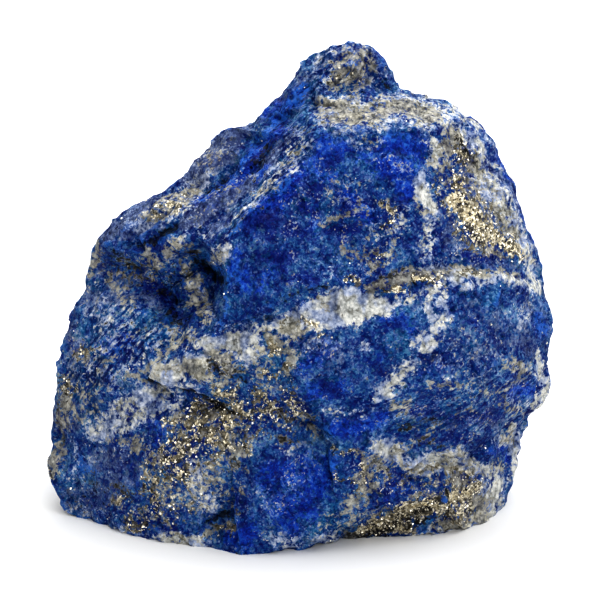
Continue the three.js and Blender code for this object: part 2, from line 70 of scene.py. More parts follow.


# ------------------------------------------------------------------------------------------------
# What is in the stone, as drawn on its front. A mark is how strong it is and then the points of a
# stroke, each as (right, up, half width) in mm.
# ------------------------------------------------------------------------------------------------
# Two lists hold no mineral: painted shade in hollows, cracks and undercuts, and painted highlights along
# edges and ridges
CALCITE = [
    # the knobs at the left end of the main vein
    (1.3, (-18, 23.9, 1.1), (-16.4, 23.8, 1.7), (-15.9, 25, 1)),
    (1.2, (-14.4, 25.2, 1.2), (-13, 24.4, 1.7), (-12.4, 23.6, 1)),
    (0.6, (-10.6, 25.6, 0.9), (-9.4, 25, 1)),
    # the main vein, up to the middle of the front and on to the right as a thin one
    (1.1, (-13.4, 27.4, 0.6), (-11, 27.6, 1.1), (-8.6, 27.8, 1.4), (-6.4, 28.6, 1.2)),
    (0.84, (-7.8, 26.6, 1.3), (-6.4, 26.4, 1.4), (-5.8, 27.4, 1)),
    (1, (-5.4, 29.4, 0.6), (-3.4, 29.8, 0.8), (-1, 30, 1.4)),
    (1.25, (-1.6, 29.4, 1.2), (0.8, 30.7, 1.7), (3.2, 31.4, 2.2), (6, 32.4, 2.3), (8.4, 32.4, 2.1),
        (10.6, 32.6, 1.2)),
    (0.76, (10.4, 32.4, 1), (12.8, 33, 0.8), (15.6, 34, 0.5)),
    (1, (16.4, 37.2, 0.7), (18.6, 37.2, 0.9), (20.4, 37, 0.7)),
    (0.95, (20.4, 36.6, 0.5), (23.4, 36.3, 0.6), (26, 36.2, 0.7), (28.4, 35.6, 0.8), (30.6, 34.4, 0.7)),
    (0.8, (19.4, 35, 0.7), (22, 35.2, 0.5), (24.4, 35.6, 0.5)),
    # the hook
    (0.8, (18.6, 35.2, 0.8), (18.8, 33.2, 0.75), (18.4, 31.4, 0.95), (17.6, 29.8, 1.1), (16.8, 28.2, 1)),
    (1.3, (16.8, 27.6, 0.8), (16.6, 26.9, 0.8)),
    (0.85, (16.9, 34.4, 0.7), (16.8, 32.6, 0.7), (17, 30.8, 0.7)),
    (0.9, (16.2, 29.2, 0.5), (15.4, 28, 0.6), (14.6, 27.2, 0.4)),
    (0.85, (14.4, 24, 0.8), (13.2, 23, 0.8), (12, 22.2, 1), (10.8, 21, 1), (9.8, 20.3, 0.6)),
    (0.8, (9.6, 19.8, 0.4), (8.2, 18.8, 0.5), (6.8, 18.2, 0.5)),
    (0.62, (3.4, 18.6, 0.9), (5.2, 18.6, 0.9)),
    (0.9, (8.2, 27.2, 0.6), (8.9, 27, 0.4)),
    # the spindle at the right edge of the front, and what is above and below it
    (1.4, (15.8, 49.9, 0.3), (15.4, 48.4, 0.75), (15.6, 46.9, 1), (16.2, 45.6, 0.9), (17.2, 44.6, 0.6)),
    (0.6, (16.2, 44.2, 0.8), (16.8, 43.4, 1.2), (16.6, 41.8, 1.3), (16.8, 40, 1.1), (17.2, 38.6, 0.9)),
    (1.15, (17.2, 54.2, 0.5), (17.6, 52.6, 0.8), (18, 50.9, 0.6)),
    # the shelf under the peak
    (0.77, (2.2, 57.8, 0.8), (4, 57.8, 1.6), (7, 58, 1.8), (10, 57.6, 1.7)),
    (0.8, (2.4, 59, 0.7), (5, 59.2, 0.7), (8, 59.4, 0.5)),
    (0.72, (10.4, 58.9, 1.2), (13, 58.8, 1.3), (16, 58.4, 1.4), (18.4, 57.6, 1), (20.2, 56.4, 0.8)),
    (0.64, (2.2, 56, 0.5), (6, 55.8, 0.7), (10, 55.6, 0.8), (14, 56.3, 1), (17.6, 56, 1)),
    # the right side
    (0.75, (18.8, 56, 1.2), (20.8, 55, 1.5), (22.6, 53, 1.5), (23.6, 51, 1.3)),
    (0.9, (22.8, 49.8, 1.2), (24.4, 47.6, 1.8), (26, 45, 1.8), (27.6, 42.6, 1.5), (29, 39.8, 1)),
    (0.9, (29.4, 39, 0.5), (29.9, 36.8, 0.6), (30.4, 34.8, 0.6)),
    (0.5, (30.4, 40, 0.6), (31, 37.4, 0.5)),
    # the lump on the right
    (1.1, (30.9, 26.6, 0.35), (31.1, 25, 0.5), (31.3, 23, 0.6), (31.8, 21.6, 0.6), (31.4, 20.4, 0.8),
        (30, 19.6, 0.5)),
    (0.8, (27.8, 24.4, 0.6), (28.8, 24.2, 0.9), (29.8, 23.8, 0.6)),
    (0.7, (28.6, 30.4, 0.8), (29.6, 30.6, 0.5)),
    (0.65, (27.4, 20, 0.5), (28.4, 19.2, 0.8)),
    (0.6, (17.4, 22.6, 0.5), (19, 22.9, 0.4)),
    # the beds of the left flank
    (0.74, (-7.6, 43.6, 0.3), (-5.6, 46, 0.4), (-3.6, 48.6, 0.6), (-2, 50.4, 0.7), (-0.4, 52, 0.8),
        (1, 53.4, 0.6)),
    (0.6, (-4.6, 48.4, 0.4), (-2.2, 51.4, 0.5), (0, 54, 0.5)),
    (0.7, (-3.4, 47.8, 0.4), (-1.6, 49.4, 0.4), (0, 50.4, 0.4)),
    (0.7, (-8.6, 43.4, 0.3), (-7, 44.8, 0.4), (-5.6, 46, 0.3)),
    (0.8, (-6.8, 49.5, 0.3), (-6, 49.9, 0.4)),
    (0.7, (-19.8, 44, 1.2), (-17.6, 44.8, 1.9), (-15.4, 46.2, 1.8), (-13.2, 47.6, 1.2), (-12, 49, 0.6)),
    (0.5, (-15.4, 48.4, 0.6), (-13.6, 49.4, 1), (-12.6, 51.4, 0.8)),
    # round the hollow
    (0.8, (-16.8, 38.6, 0.7), (-15.9, 40.2, 0.8), (-15, 41.4, 0.5)),
    (0.85, (-11.4, 38.2, 0.6), (-10.2, 39.3, 1.3), (-9.2, 40.6, 0.8)),
    (0.66, (-15, 37.4, 0.9), (-14, 35.4, 1.3), (-13.4, 33.2, 1.3), (-12.2, 31.2, 1.3)),
    # the left side
    (0.5, (-26, 32.8, 1), (-23.6, 32.4, 0.9), (-21.6, 31.8, 1)),
    (0.55, (-27.6, 31.6, 0.5), (-25.8, 30.4, 0.9), (-26.6, 28.2, 0.9)),
    (0.55, (-25.6, 24.8, 0.7), (-24.4, 24.2, 0.6), (-22.8, 24.6, 0.5)),
    (0.8, (-20.4, 24, 0.35), (-17.8, 26.4, 0.4), (-15.4, 28.2, 0.5), (-13.4, 29, 0.4)),
    (0.8, (-21.6, 24.6, 0.25), (-19, 27, 0.3), (-16.2, 29.4, 0.3)),
    (0.75, (-24.6, 24, 0.25), (-21.6, 26.4, 0.3), (-18.6, 29.6, 0.25)),
    (0.7, (-26.6, 25.6, 0.25), (-23.6, 28.4, 0.3), (-21.6, 30.6, 0.2)),
    (0.76, (-26.6, 16.4, 1.4), (-24.8, 17.2, 2), (-22.6, 18.4, 2.3), (-20.4, 19.6, 2.3),
        (-18, 20.8, 1.8)),
    (0.6, (-21, 22, 0.8), (-19, 21.8, 0.6), (-17, 20.6, 0.9), (-15.4, 20.4, 0.6)),
    (0.8, (-20, 18.4, 1), (-18.6, 18.6, 0.8)),
    # low on the left
    (0.72, (-14, 12.2, 1), (-13, 11.6, 1.4), (-13.2, 9.4, 1.9), (-12, 7.4, 1.6)),
    (0.55, (-14.6, 9, 0.9), (-14, 7, 0.8)),
    (1, (-18.6, 2.1, 0.8), (-16.8, 2.6, 1.2), (-14, 2.2, 1.2), (-12.4, 1.8, 0.7)),
    (0.6, (-21.8, 4.6, 0.6), (-19.4, 3.2, 0.6), (-17.4, 3.6, 0.6)),
    (0.65, (-29.6, 15.4, 0.25), (-29, 13.6, 0.3), (-29.6, 11.4, 0.35)),
    (0.6, (-1.6, 13.8, 0.6), (0.6, 14.6, 0.4)),
    # low on the right
    (0.95, (9.8, 14.2, 0.9), (11.6, 14, 1.5), (13, 13.2, 1)),
    (0.9, (13.4, 12, 0.8), (15.4, 11.6, 1.2), (17.6, 12.2, 1.5), (20.4, 12.4, 1.7), (22.4, 11.8, 1.5)),
    (0.85, (22.4, 12, 1.2), (24.4, 11.4, 1.2), (26.4, 11.6, 0.7)),
    (0.95, (23.4, 9.4, 1.3), (24.6, 8.6, 1.6), (25.8, 9.8, 1)),
    (1, (25.6, 8.6, 0.9), (24.8, 6.4, 1), (24, 4.6, 0.9)),
    (0.95, (17.6, 3.9, 0.9), (19.4, 3.8, 1.2), (21.2, 4.4, 1.4), (22.6, 5.8, 1)),
    (0.8, (12.6, 2.7, 0.4), (15, 3.2, 0.5), (17.4, 3.2, 0.6)),
    (0.6, (10.2, 9.8, 0.8), (11.2, 8.8, 0.8)),
    (0.9, (26.2, 15.2, 0.7), (27.6, 15.4, 0.7), (28.2, 14, 0.4)),
    # the peak
    (0.6, (3, 60.8, 0.9), (4, 62.6, 1.1), (5.4, 64.4, 1.1), (7.4, 64.4, 0.9)),
    (0.58, (2.6, 64.8, 0.7), (4.6, 65.8, 0.8), (7, 66.1, 0.8), (9.4, 65.8, 0.7)),
    (0.55, (9, 64.6, 0.8), (10, 62.6, 0.7), (9.4, 60.6, 0.6)),
    # small spots: the peak and the shelf
    (0.9, (21.4, 57.8, 0.8), (23, 56.4, 0.9)),
    (0.9, (20.6, 57.6, 0.8), (22, 56.8, 0.7)),
    (0.5, (15, 54.6, 0.8), (16.6, 53.6, 0.8)),
    (0.6, (18.2, 54.6, 0.8), (19.8, 53.6, 0.8)),
    # small spots: the left flank
    (0.58, (-15.6, 44, 0.8), (-13.6, 45.6, 1), (-13, 48.6, 1)),
    (0.58, (-22, 42.4, 0.7), (-19.4, 43.2, 0.7)),
    (0.66, (-21.4, 41.8, 0.6), (-19.4, 42.6, 0.7)),
    (0.64, (-14.6, 47.6, 0.9), (-13.4, 49, 0.9)),
    (0.6, (-11.8, 45.2, 0.4), (-10.4, 46, 0.4)),
    (0.56, (-14.4, 42.6, 0.7), (-12.8, 41.4, 0.6)),
    # small spots: low on the left
    (0.6, (-18.6, 19.6, 1), (-16.6, 19, 1.3), (-14.4, 18.4, 1.3)),
    (1, (-24, 3.8, 0.8), (-22, 3, 0.9)),
    (0.5, (-14.4, 17.6, 0.8), (-13, 15.4, 0.8)),
    (0.46, (-25, 30.6, 1), (-23, 29, 1)),
    (0.76, (-26.8, 24.6, 0.7), (-25.6, 23.2, 0.7)),
    (1.1, (-18, 2, 0.8), (-14.4, 1.6, 0.8)),
    (0.6, (-23.4, 27.8, 0.8), (-22, 26.8, 0.8)),
    (0.6, (-9, 12.4, 0.6), (-7.8, 12, 0.5)),
    (0.9, (-18, 3.4, 0.9), (-16, 3, 0.9)),
    (0.8, (-15, 21.8, 0.7), (-13.2, 21.2, 0.6)),
    (0.66, (-21, 6.8, 0.8), (-19.2, 5.6, 0.8)),
    (0.56, (-26.8, 25, 0.8), (-25.2, 23.8, 0.8)),
    (0.66, (-21, 18.4, 1), (-19, 18, 0.9)),
    (0.8, (-12.4, 26.6, 0.8), (-10.4, 26.6, 0.8), (-9, 26.2, 0.8)),
    # small spots: the right side
    (1.3, (17.4, 36.8, 0.8), (19.4, 36.5, 1.1), (21, 36.6, 0.8)),
    (0.56, (24.4, 52.6, 0.8), (25.4, 50.4, 0.8)),
    (0.6, (15.4, 39.6, 0.8), (16.6, 38.4, 0.8)),
    (0.66, (18.4, 51.6, 0.8), (19.6, 50.4, 0.7)),
    (0.66, (16, 40.4, 0.8), (16.4, 38.8, 0.8)),
    (0.62, (27.4, 46.4, 0.7), (28, 44, 0.7)),
    (1.4, (18.2, 36, 1), (20.2, 35.6, 0.9)),
    (0.58, (22.6, 56.2, 0.5), (24.4, 54, 0.5), (25.2, 51.8, 0.5)),
    (0.76, (17.8, 35, 0.6), (17.8, 34.3, 0.5)),
    # small spots: the lump on the right
    (0.6, (14.6, 24, 1), (12.6, 23.6, 0.8)),
    (0.76, (17.8, 31.4, 0.7), (17.5, 30.2, 0.7)),
    (0.8, (15.8, 28.8, 0.7), (15.4, 27.6, 0.7)),
    # small spots: low on the right
    (0.8, (28.4, 13.8, 0.6), (28.6, 11.8, 0.5), (27.4, 10.4, 0.5)),
    (0.75, (18.8, 4.8, 1), (20.6, 5, 1.2)),
    (1.1, (28.2, 17, 0.5), (28, 15, 0.9), (28.6, 13, 0.8), (28.4, 11, 0.6)),
    (0.72, (2.6, 3, 0.8), (4.8, 3.2, 0.8)),
    # small spots: the broad front
    (0.5, (6.6, 53.6, 0.7), (8.8, 52.8, 0.8), (10, 53.6, 0.5)),
    (0.5, (4.4, 37, 0.8), (5, 35.8, 0.6)),
    (0.56, (10.6, 45.4, 1), (13, 44.4, 1.2), (12.4, 42.4, 1.2)),
    (0.64, (5.6, 46.4, 0.8), (7.6, 45, 0.9)),
    (0.66, (9.4, 42.6, 0.8), (10.8, 41.4, 0.8)),
    (0.58, (7, 36.6, 0.6), (8, 35.8, 0.6)),
    (0.5, (9.4, 54.2, 0.8), (11, 53.6, 0.6)),
    # small spots: the middle, under the main vein
    (0.7, (-3.4, 2.8, 0.8), (-1, 2.8, 0.9)),
]
DIOPSIDE = [
    # on the main vein
    (1, (-14.2, 24.6, 1.4), (-12.8, 24, 1.2)),
    (1, (-10.8, 26, 0.9), (-9.2, 24.8, 1.1)),
    (0.9, (-4.8, 28.8, 0.8), (-3.2, 27.2, 1.2), (-2, 26.4, 1)),
    (0.8, (-0.8, 29.6, 0.8), (-2.2, 28.6, 0.9)),
    (0.7, (2.2, 33.2, 0.8), (3.2, 31.8, 0.7)),
    (1, (8.6, 35, 0.5), (10.8, 35.6, 0.8), (13, 35.8, 1), (15, 36.2, 0.9), (17, 36.4, 0.8)),
    (0.8, (17, 36.6, 0.7), (20, 37.2, 0.8), (23, 37, 0.7), (26, 36.8, 0.5), (29, 36, 0.4)),
    # the shelf and the peak
    (0.9, (3, 58.2, 1), (5, 58, 1.2), (6.4, 58.4, 1)),
    (0.8, (5.4, 57, 1.2), (8, 57, 1.2), (10.4, 57, 1.3), (12, 57.6, 1)),
    (0.9, (12, 58.4, 1.1), (15, 58, 1.3), (18, 57, 1.1)),
    (0.7, (2.6, 56.8, 0.8), (5, 56.4, 0.8), (8, 56, 0.6), (10, 56, 0.6)),
    (0.6, (8, 59.2, 0.8), (11, 59, 1), (14, 58.4, 1)),
    (0.95, (4.4, 61.4, 1.1), (5.8, 62.8, 1.3), (7.4, 62.4, 1.3), (8.2, 63.6, 1.1)),
    (0.7, (4, 64.2, 1), (6, 65, 1), (8.6, 65, 0.9), (10, 63.6, 0.8)),
    (0.6, (4, 60.4, 0.7), (6, 60.8, 0.8), (9, 61.2, 0.8)),
    # the right side
    (0.85, (19.6, 54.8, 1.2), (20.6, 53, 1.3), (21.8, 51.2, 1.4), (23.6, 50, 1)),
    (0.5, (17.4, 49.4, 1), (18.4, 47.4, 1.4), (18.6, 45.4, 1.1), (18.8, 43.2, 1)),
    (0.8, (24.4, 45.6, 1), (26.4, 43.2, 1), (28, 41, 1), (29, 38.8, 0.8)),
    # the front
    (0.7, (3.6, 42.8, 0.5), (5, 43.8, 0.6), (6.6, 45, 0.8), (7.6, 46.2, 0.6)),
    (0.58, (10.4, 46, 0.9), (12, 44.6, 1.2), (11, 43, 1.1), (12.6, 41.4, 0.8)),
    (0.66, (8.4, 38.6, 1), (10.4, 39.4, 1.4), (11.8, 39.2, 1), (9.8, 37.4, 0.8)),
    (0.65, (8.6, 40.8, 0.7), (9.6, 42, 0.6)),
    # round the hollow
    (0.7, (-19.6, 44.2, 1.2), (-17, 45.4, 1.8), (-14.4, 47, 1.4)),
    (0.85, (-20, 39, 0.9), (-18.8, 37.6, 1), (-19, 36.4, 0.6)),
    (0.6, (-23.4, 38.6, 0.9), (-21, 38, 1)),
    (0.85, (-17, 39, 0.9), (-15.8, 40.2, 0.8)),
    (0.72, (-15, 37.6, 0.9), (-14.2, 35.4, 1.3), (-13.4, 33, 1.3), (-12.4, 31, 1.2)),
    (0.8, (-11, 38.8, 0.8), (-10.2, 39.4, 0.8)),
    (0.6, (-25.2, 36.4, 0.7), (-24, 34.8, 0.7), (-22, 35, 0.6)),
    # the left side
    (0.75, (-28.6, 26.2, 0.6), (-27.2, 26.4, 0.6), (-27.6, 25.2, 0.4)),
    (0.7, (-22.4, 23.6, 0.5), (-20.6, 23.4, 0.5), (-20.2, 22.8, 0.4)),
    (0.74, (-31, 23.6, 0.8), (-30.4, 21.6, 1.2), (-30.2, 19.4, 1.3), (-30.6, 17, 1), (-31.2, 15.4, 0.7)),
    (0.52, (-28.4, 21.4, 1.3), (-26.8, 21.6, 1.3), (-26.6, 19.4, 1.3), (-28.6, 18.6, 1.3)),
    (0.9, (-20, 24.2, 0.35), (-17.8, 26.3, 0.45), (-15.6, 28, 0.5), (-13.6, 29.2, 0.4)),
    (0.8, (-18.6, 26.4, 0.3), (-16.4, 28.6, 0.3), (-14.8, 30, 0.3)),
    (0.7, (-25.6, 25, 0.3), (-22.6, 27.6, 0.3), (-20, 30, 0.3)),
    (0.6, (-14, 28.8, 0.7), (-15.6, 29.6, 0.6), (-18.2, 29.6, 0.6)),
    (1, (-31.4, 14.6, 0.6), (-32, 12.6, 0.7), (-31.8, 11, 0.6)),
    (0.7, (-24.4, 15.2, 0.6), (-22.2, 15.2, 0.8), (-21.4, 14.2, 0.8)),
    (0.7, (-24, 8, 0.9), (-23, 7, 0.7)),
    # under the knobs
    (0.8, (-17.2, 17.4, 1), (-15.4, 17.6, 1.2), (-13.4, 17.4, 1.2)),
    (0.74, (-13.6, 19, 1), (-11.6, 18.4, 1.6), (-9.6, 18, 1.6), (-8, 19.4, 1)),
    (0.74, (-12.4, 16.2, 1.6), (-10, 15.4, 1.8), (-8.2, 14, 1.6)),
    (0.5, (-6.4, 18.4, 1.6), (-3.6, 17, 1.4), (-2, 19.4, 1.2)),
    (0.7, (-19.4, 12.4, 1), (-17, 12.8, 1.5), (-15, 13.6, 1.7)),
    (0.6, (-20, 9, 1.2), (-18, 8, 1.4), (-16.6, 10.6, 1.2)),
    (0.56, (-19.4, 3, 0.8), (-17, 3.2, 1.1), (-14.6, 2.4, 0.8)),
    (0.6, (-22, 4.8, 0.9), (-19.6, 5.4, 0.8), (-16.4, 6.4, 0.8)),
    (0.7, (-12, 3.6, 0.8), (-10.4, 4, 0.9), (-8.8, 4.2, 0.6)),
    (0.7, (-6.2, 24.4, 0.7), (-5, 23.2, 0.9)),
    (0.7, (-0.2, 19.8, 1.2), (0.8, 18, 1.2), (1.4, 16.4, 0.9)),
    (0.7, (3.6, 18.8, 0.6), (5, 17.8, 0.5)),
    # the lump on the right
    (0.85, (11.6, 19.4, 0.5), (13.4, 19.2, 0.9), (14.4, 20, 0.6)),
    (0.6, (16.8, 22.4, 0.5), (20, 21.8, 0.5), (22.4, 22.6, 0.4)),
    (0.65, (21, 18.9, 0.5), (23, 18.6, 0.5)),
    (0.6, (14.4, 16.6, 0.5), (17, 16.2, 0.5), (19, 17, 0.4)),
    (0.75, (24.8, 21, 0.5), (26.6, 21.8, 0.6), (28.4, 22.6, 0.5)),
    (0.75, (26.4, 19.6, 0.6), (28.6, 18.8, 0.6)),
    # low on the right
    (0.85, (6, 13.6, 0.5), (8, 12.6, 0.8), (8.6, 11, 1.1), (6.8, 10.2, 0.8), (9.4, 9.4, 1)),
    (0.62, (12.4, 14.2, 0.8), (13.4, 11.8, 0.8), (14.6, 10.8, 0.7), (18, 11.2, 0.8)),
    (0.62, (18.8, 13, 0.9), (20.6, 12.6, 1.2), (22.4, 11.4, 1.4), (24, 10.6, 1)),
    (0.9, (20.6, 10, 1.4), (22.6, 9, 1.4), (23.4, 7, 1.2), (21.4, 7.2, 1.4)),
    (0.75, (14.8, 8.6, 0.8), (17, 8.4, 0.8)),
    (0.9, (18.6, 5, 1), (20, 5.2, 1.4), (22, 5.6, 1.2), (24, 6, 0.9)),
    (0.8, (26.6, 15.4, 0.6), (27.8, 15.8, 0.6)),
    (0.8, (8, 3.4, 0.6), (11, 5, 1), (14, 6, 1.2), (17.4, 7, 1.2)),
    # scattered through the blue, low on the left, under the vein and on the front
    (0.55, (-18.6, 6, 2), (-17, 11, 3), (-14, 14, 3.6), (-9, 16, 3.4), (-4.6, 19.4, 2)),
    (0.5, (-17, 6, 2.4), (-12, 9, 2.4)),
    (0.42, (-5, 24, 2), (-3, 21, 2)),
    (0.34, (5, 47, 2.4), (9, 45, 2.6), (11, 41, 2.6), (9, 38, 2)),
    (0.56, (19, 52, 2.4), (19.8, 46, 2.2), (22.4, 41.8, 1.8)),
    (0.5, (22.6, 49, 2), (24.6, 46, 2), (26.6, 43.6, 1.6)),
    (0.5, (9, 11, 2.4), (14, 10, 2.4), (20, 9.6, 3), (24, 8, 2)),
    # small spots: the left flank
    (0.7, (-26.6, 41, 0.9), (-26.4, 38.8, 1.1), (-27, 36.8, 0.8)),
    (0.6, (-24.6, 37, 1), (-21, 36.4, 1)),
    (0.52, (-24, 33.4, 0.9), (-21.6, 32.6, 0.9)),
    (0.4, (-13, 44, 1.6), (-8, 48, 1.4)),
    (0.4, (-12, 51, 1.6), (-8.6, 54, 1.2)),
    (0.62, (-14.6, 39.8, 0.6), (-13.6, 38.8, 0.6)),
    # small spots: low on the left
    (0.56, (-11, 12, 1), (-10.4, 9, 1.2), (-9.6, 7, 0.8)),
    (0.8, (-12, 23.4, 0.8), (-10.4, 22.8, 0.9), (-8.4, 22.8, 0.8)),
    (0.64, (-21.6, 15.4, 1), (-20, 14.4, 1)),
    (0.72, (-17.8, 24.2, 1.2), (-16, 24.8, 1)),
    (0.85, (-32.4, 13.4, 1), (-32.4, 11, 1)),
    (0.72, (-20.8, 6.6, 0.9), (-19.4, 5.6, 0.8)),
    (1, (-11.4, 24.6, 0.6), (-9.8, 23.8, 0.6)),
    (0.74, (-8.8, 12.2, 0.8), (-7.4, 11.8, 0.7)),
    (0.66, (-23.8, 9.4, 0.8), (-22.4, 8.6, 0.7)),
    (0.8, (-8.8, 6.6, 0.7), (-7.6, 6.2, 0.6)),
    (0.66, (-8.8, 9.6, 0.7), (-7.8, 8.8, 0.6)),
    (0.75, (-9, 24.6, 0.7), (-7.4, 23.8, 0.7)),
    # small spots: the right side
    (0.85, (19, 36.4, 0.8), (20.6, 36.8, 0.8)),
    (0.7, (14.6, 46.4, 0.5), (15.2, 44.8, 0.6), (16.6, 44.4, 0.6)),
    (0.85, (18.6, 53.4, 1), (19.4, 51.6, 1)),
    (0.75, (21.4, 48.6, 0.8), (22.8, 47.6, 0.8)),
    (0.85, (20.4, 48.6, 0.8), (21.6, 45.8, 1.2), (24.4, 42.8, 1.2), (27.2, 40.6, 0.8)),
    (0.85, (24, 40, 1), (26, 39, 1)),
    # small spots: the lump on the right
    (0.8, (27.4, 24.8, 0.8), (28.8, 24, 1)),
    (0.6, (24, 21.4, 0.8), (26, 20.8, 0.8)),
    (0.6, (12, 33.6, 0.7), (14, 33.4, 0.6)),
    # small spots: low on the right
    (0.5, (3, 4.4, 1), (5.6, 5.4, 1.4), (8.4, 5.8, 1.4), (11, 6.6, 1.2)),
    (0.62, (14.4, 15, 0.8), (17.6, 14.8, 0.9)),
    (0.8, (7.4, 2.4, 0.6), (10, 2.4, 0.6)),
    (0.7, (25.4, 12.2, 1), (27, 11.6, 0.8)),
    (0.62, (6, 7.4, 1), (8.6, 7.6, 1)),
    (0.7, (27.6, 17, 0.6), (28.2, 15, 0.6)),
    (0.6, (17.6, 8, 1), (20, 8.2, 1.2)),
    (0.85, (9.6, 12.6, 1), (10.8, 11.2, 1)),
    (0.9, (6, 3, 0.8), (8, 3, 0.9)),
    # small spots: the broad front
    (0.7, (-2, 50.4, 0.4), (0.2, 53, 0.5)),
    (0.62, (-5.4, 46.4, 0.4), (-3, 49, 0.5)),
    (0.66, (8.2, 54.2, 0.6), (9.4, 53.4, 0.7), (10.2, 54.4, 0.5)),
    (0.66, (6, 39.6, 0.8), (7.6, 38.6, 0.8)),
    # small spots: the middle, under the main vein
    (0.75, (-1.6, 27.6, 0.8), (-0.6, 25.8, 1.1), (-1.4, 24, 1)),
    (0.8, (-1, 28.4, 0.8), (1, 29, 0.7)),
    (0.7, (-5.4, 27, 0.6), (-4.6, 26, 0.6)),
    (0.64, (-2.8, 15.5, 0.9), (-1, 14.8, 0.8)),
    (0.7, (-3, 18.6, 1), (-1.4, 17.4, 1)),
]
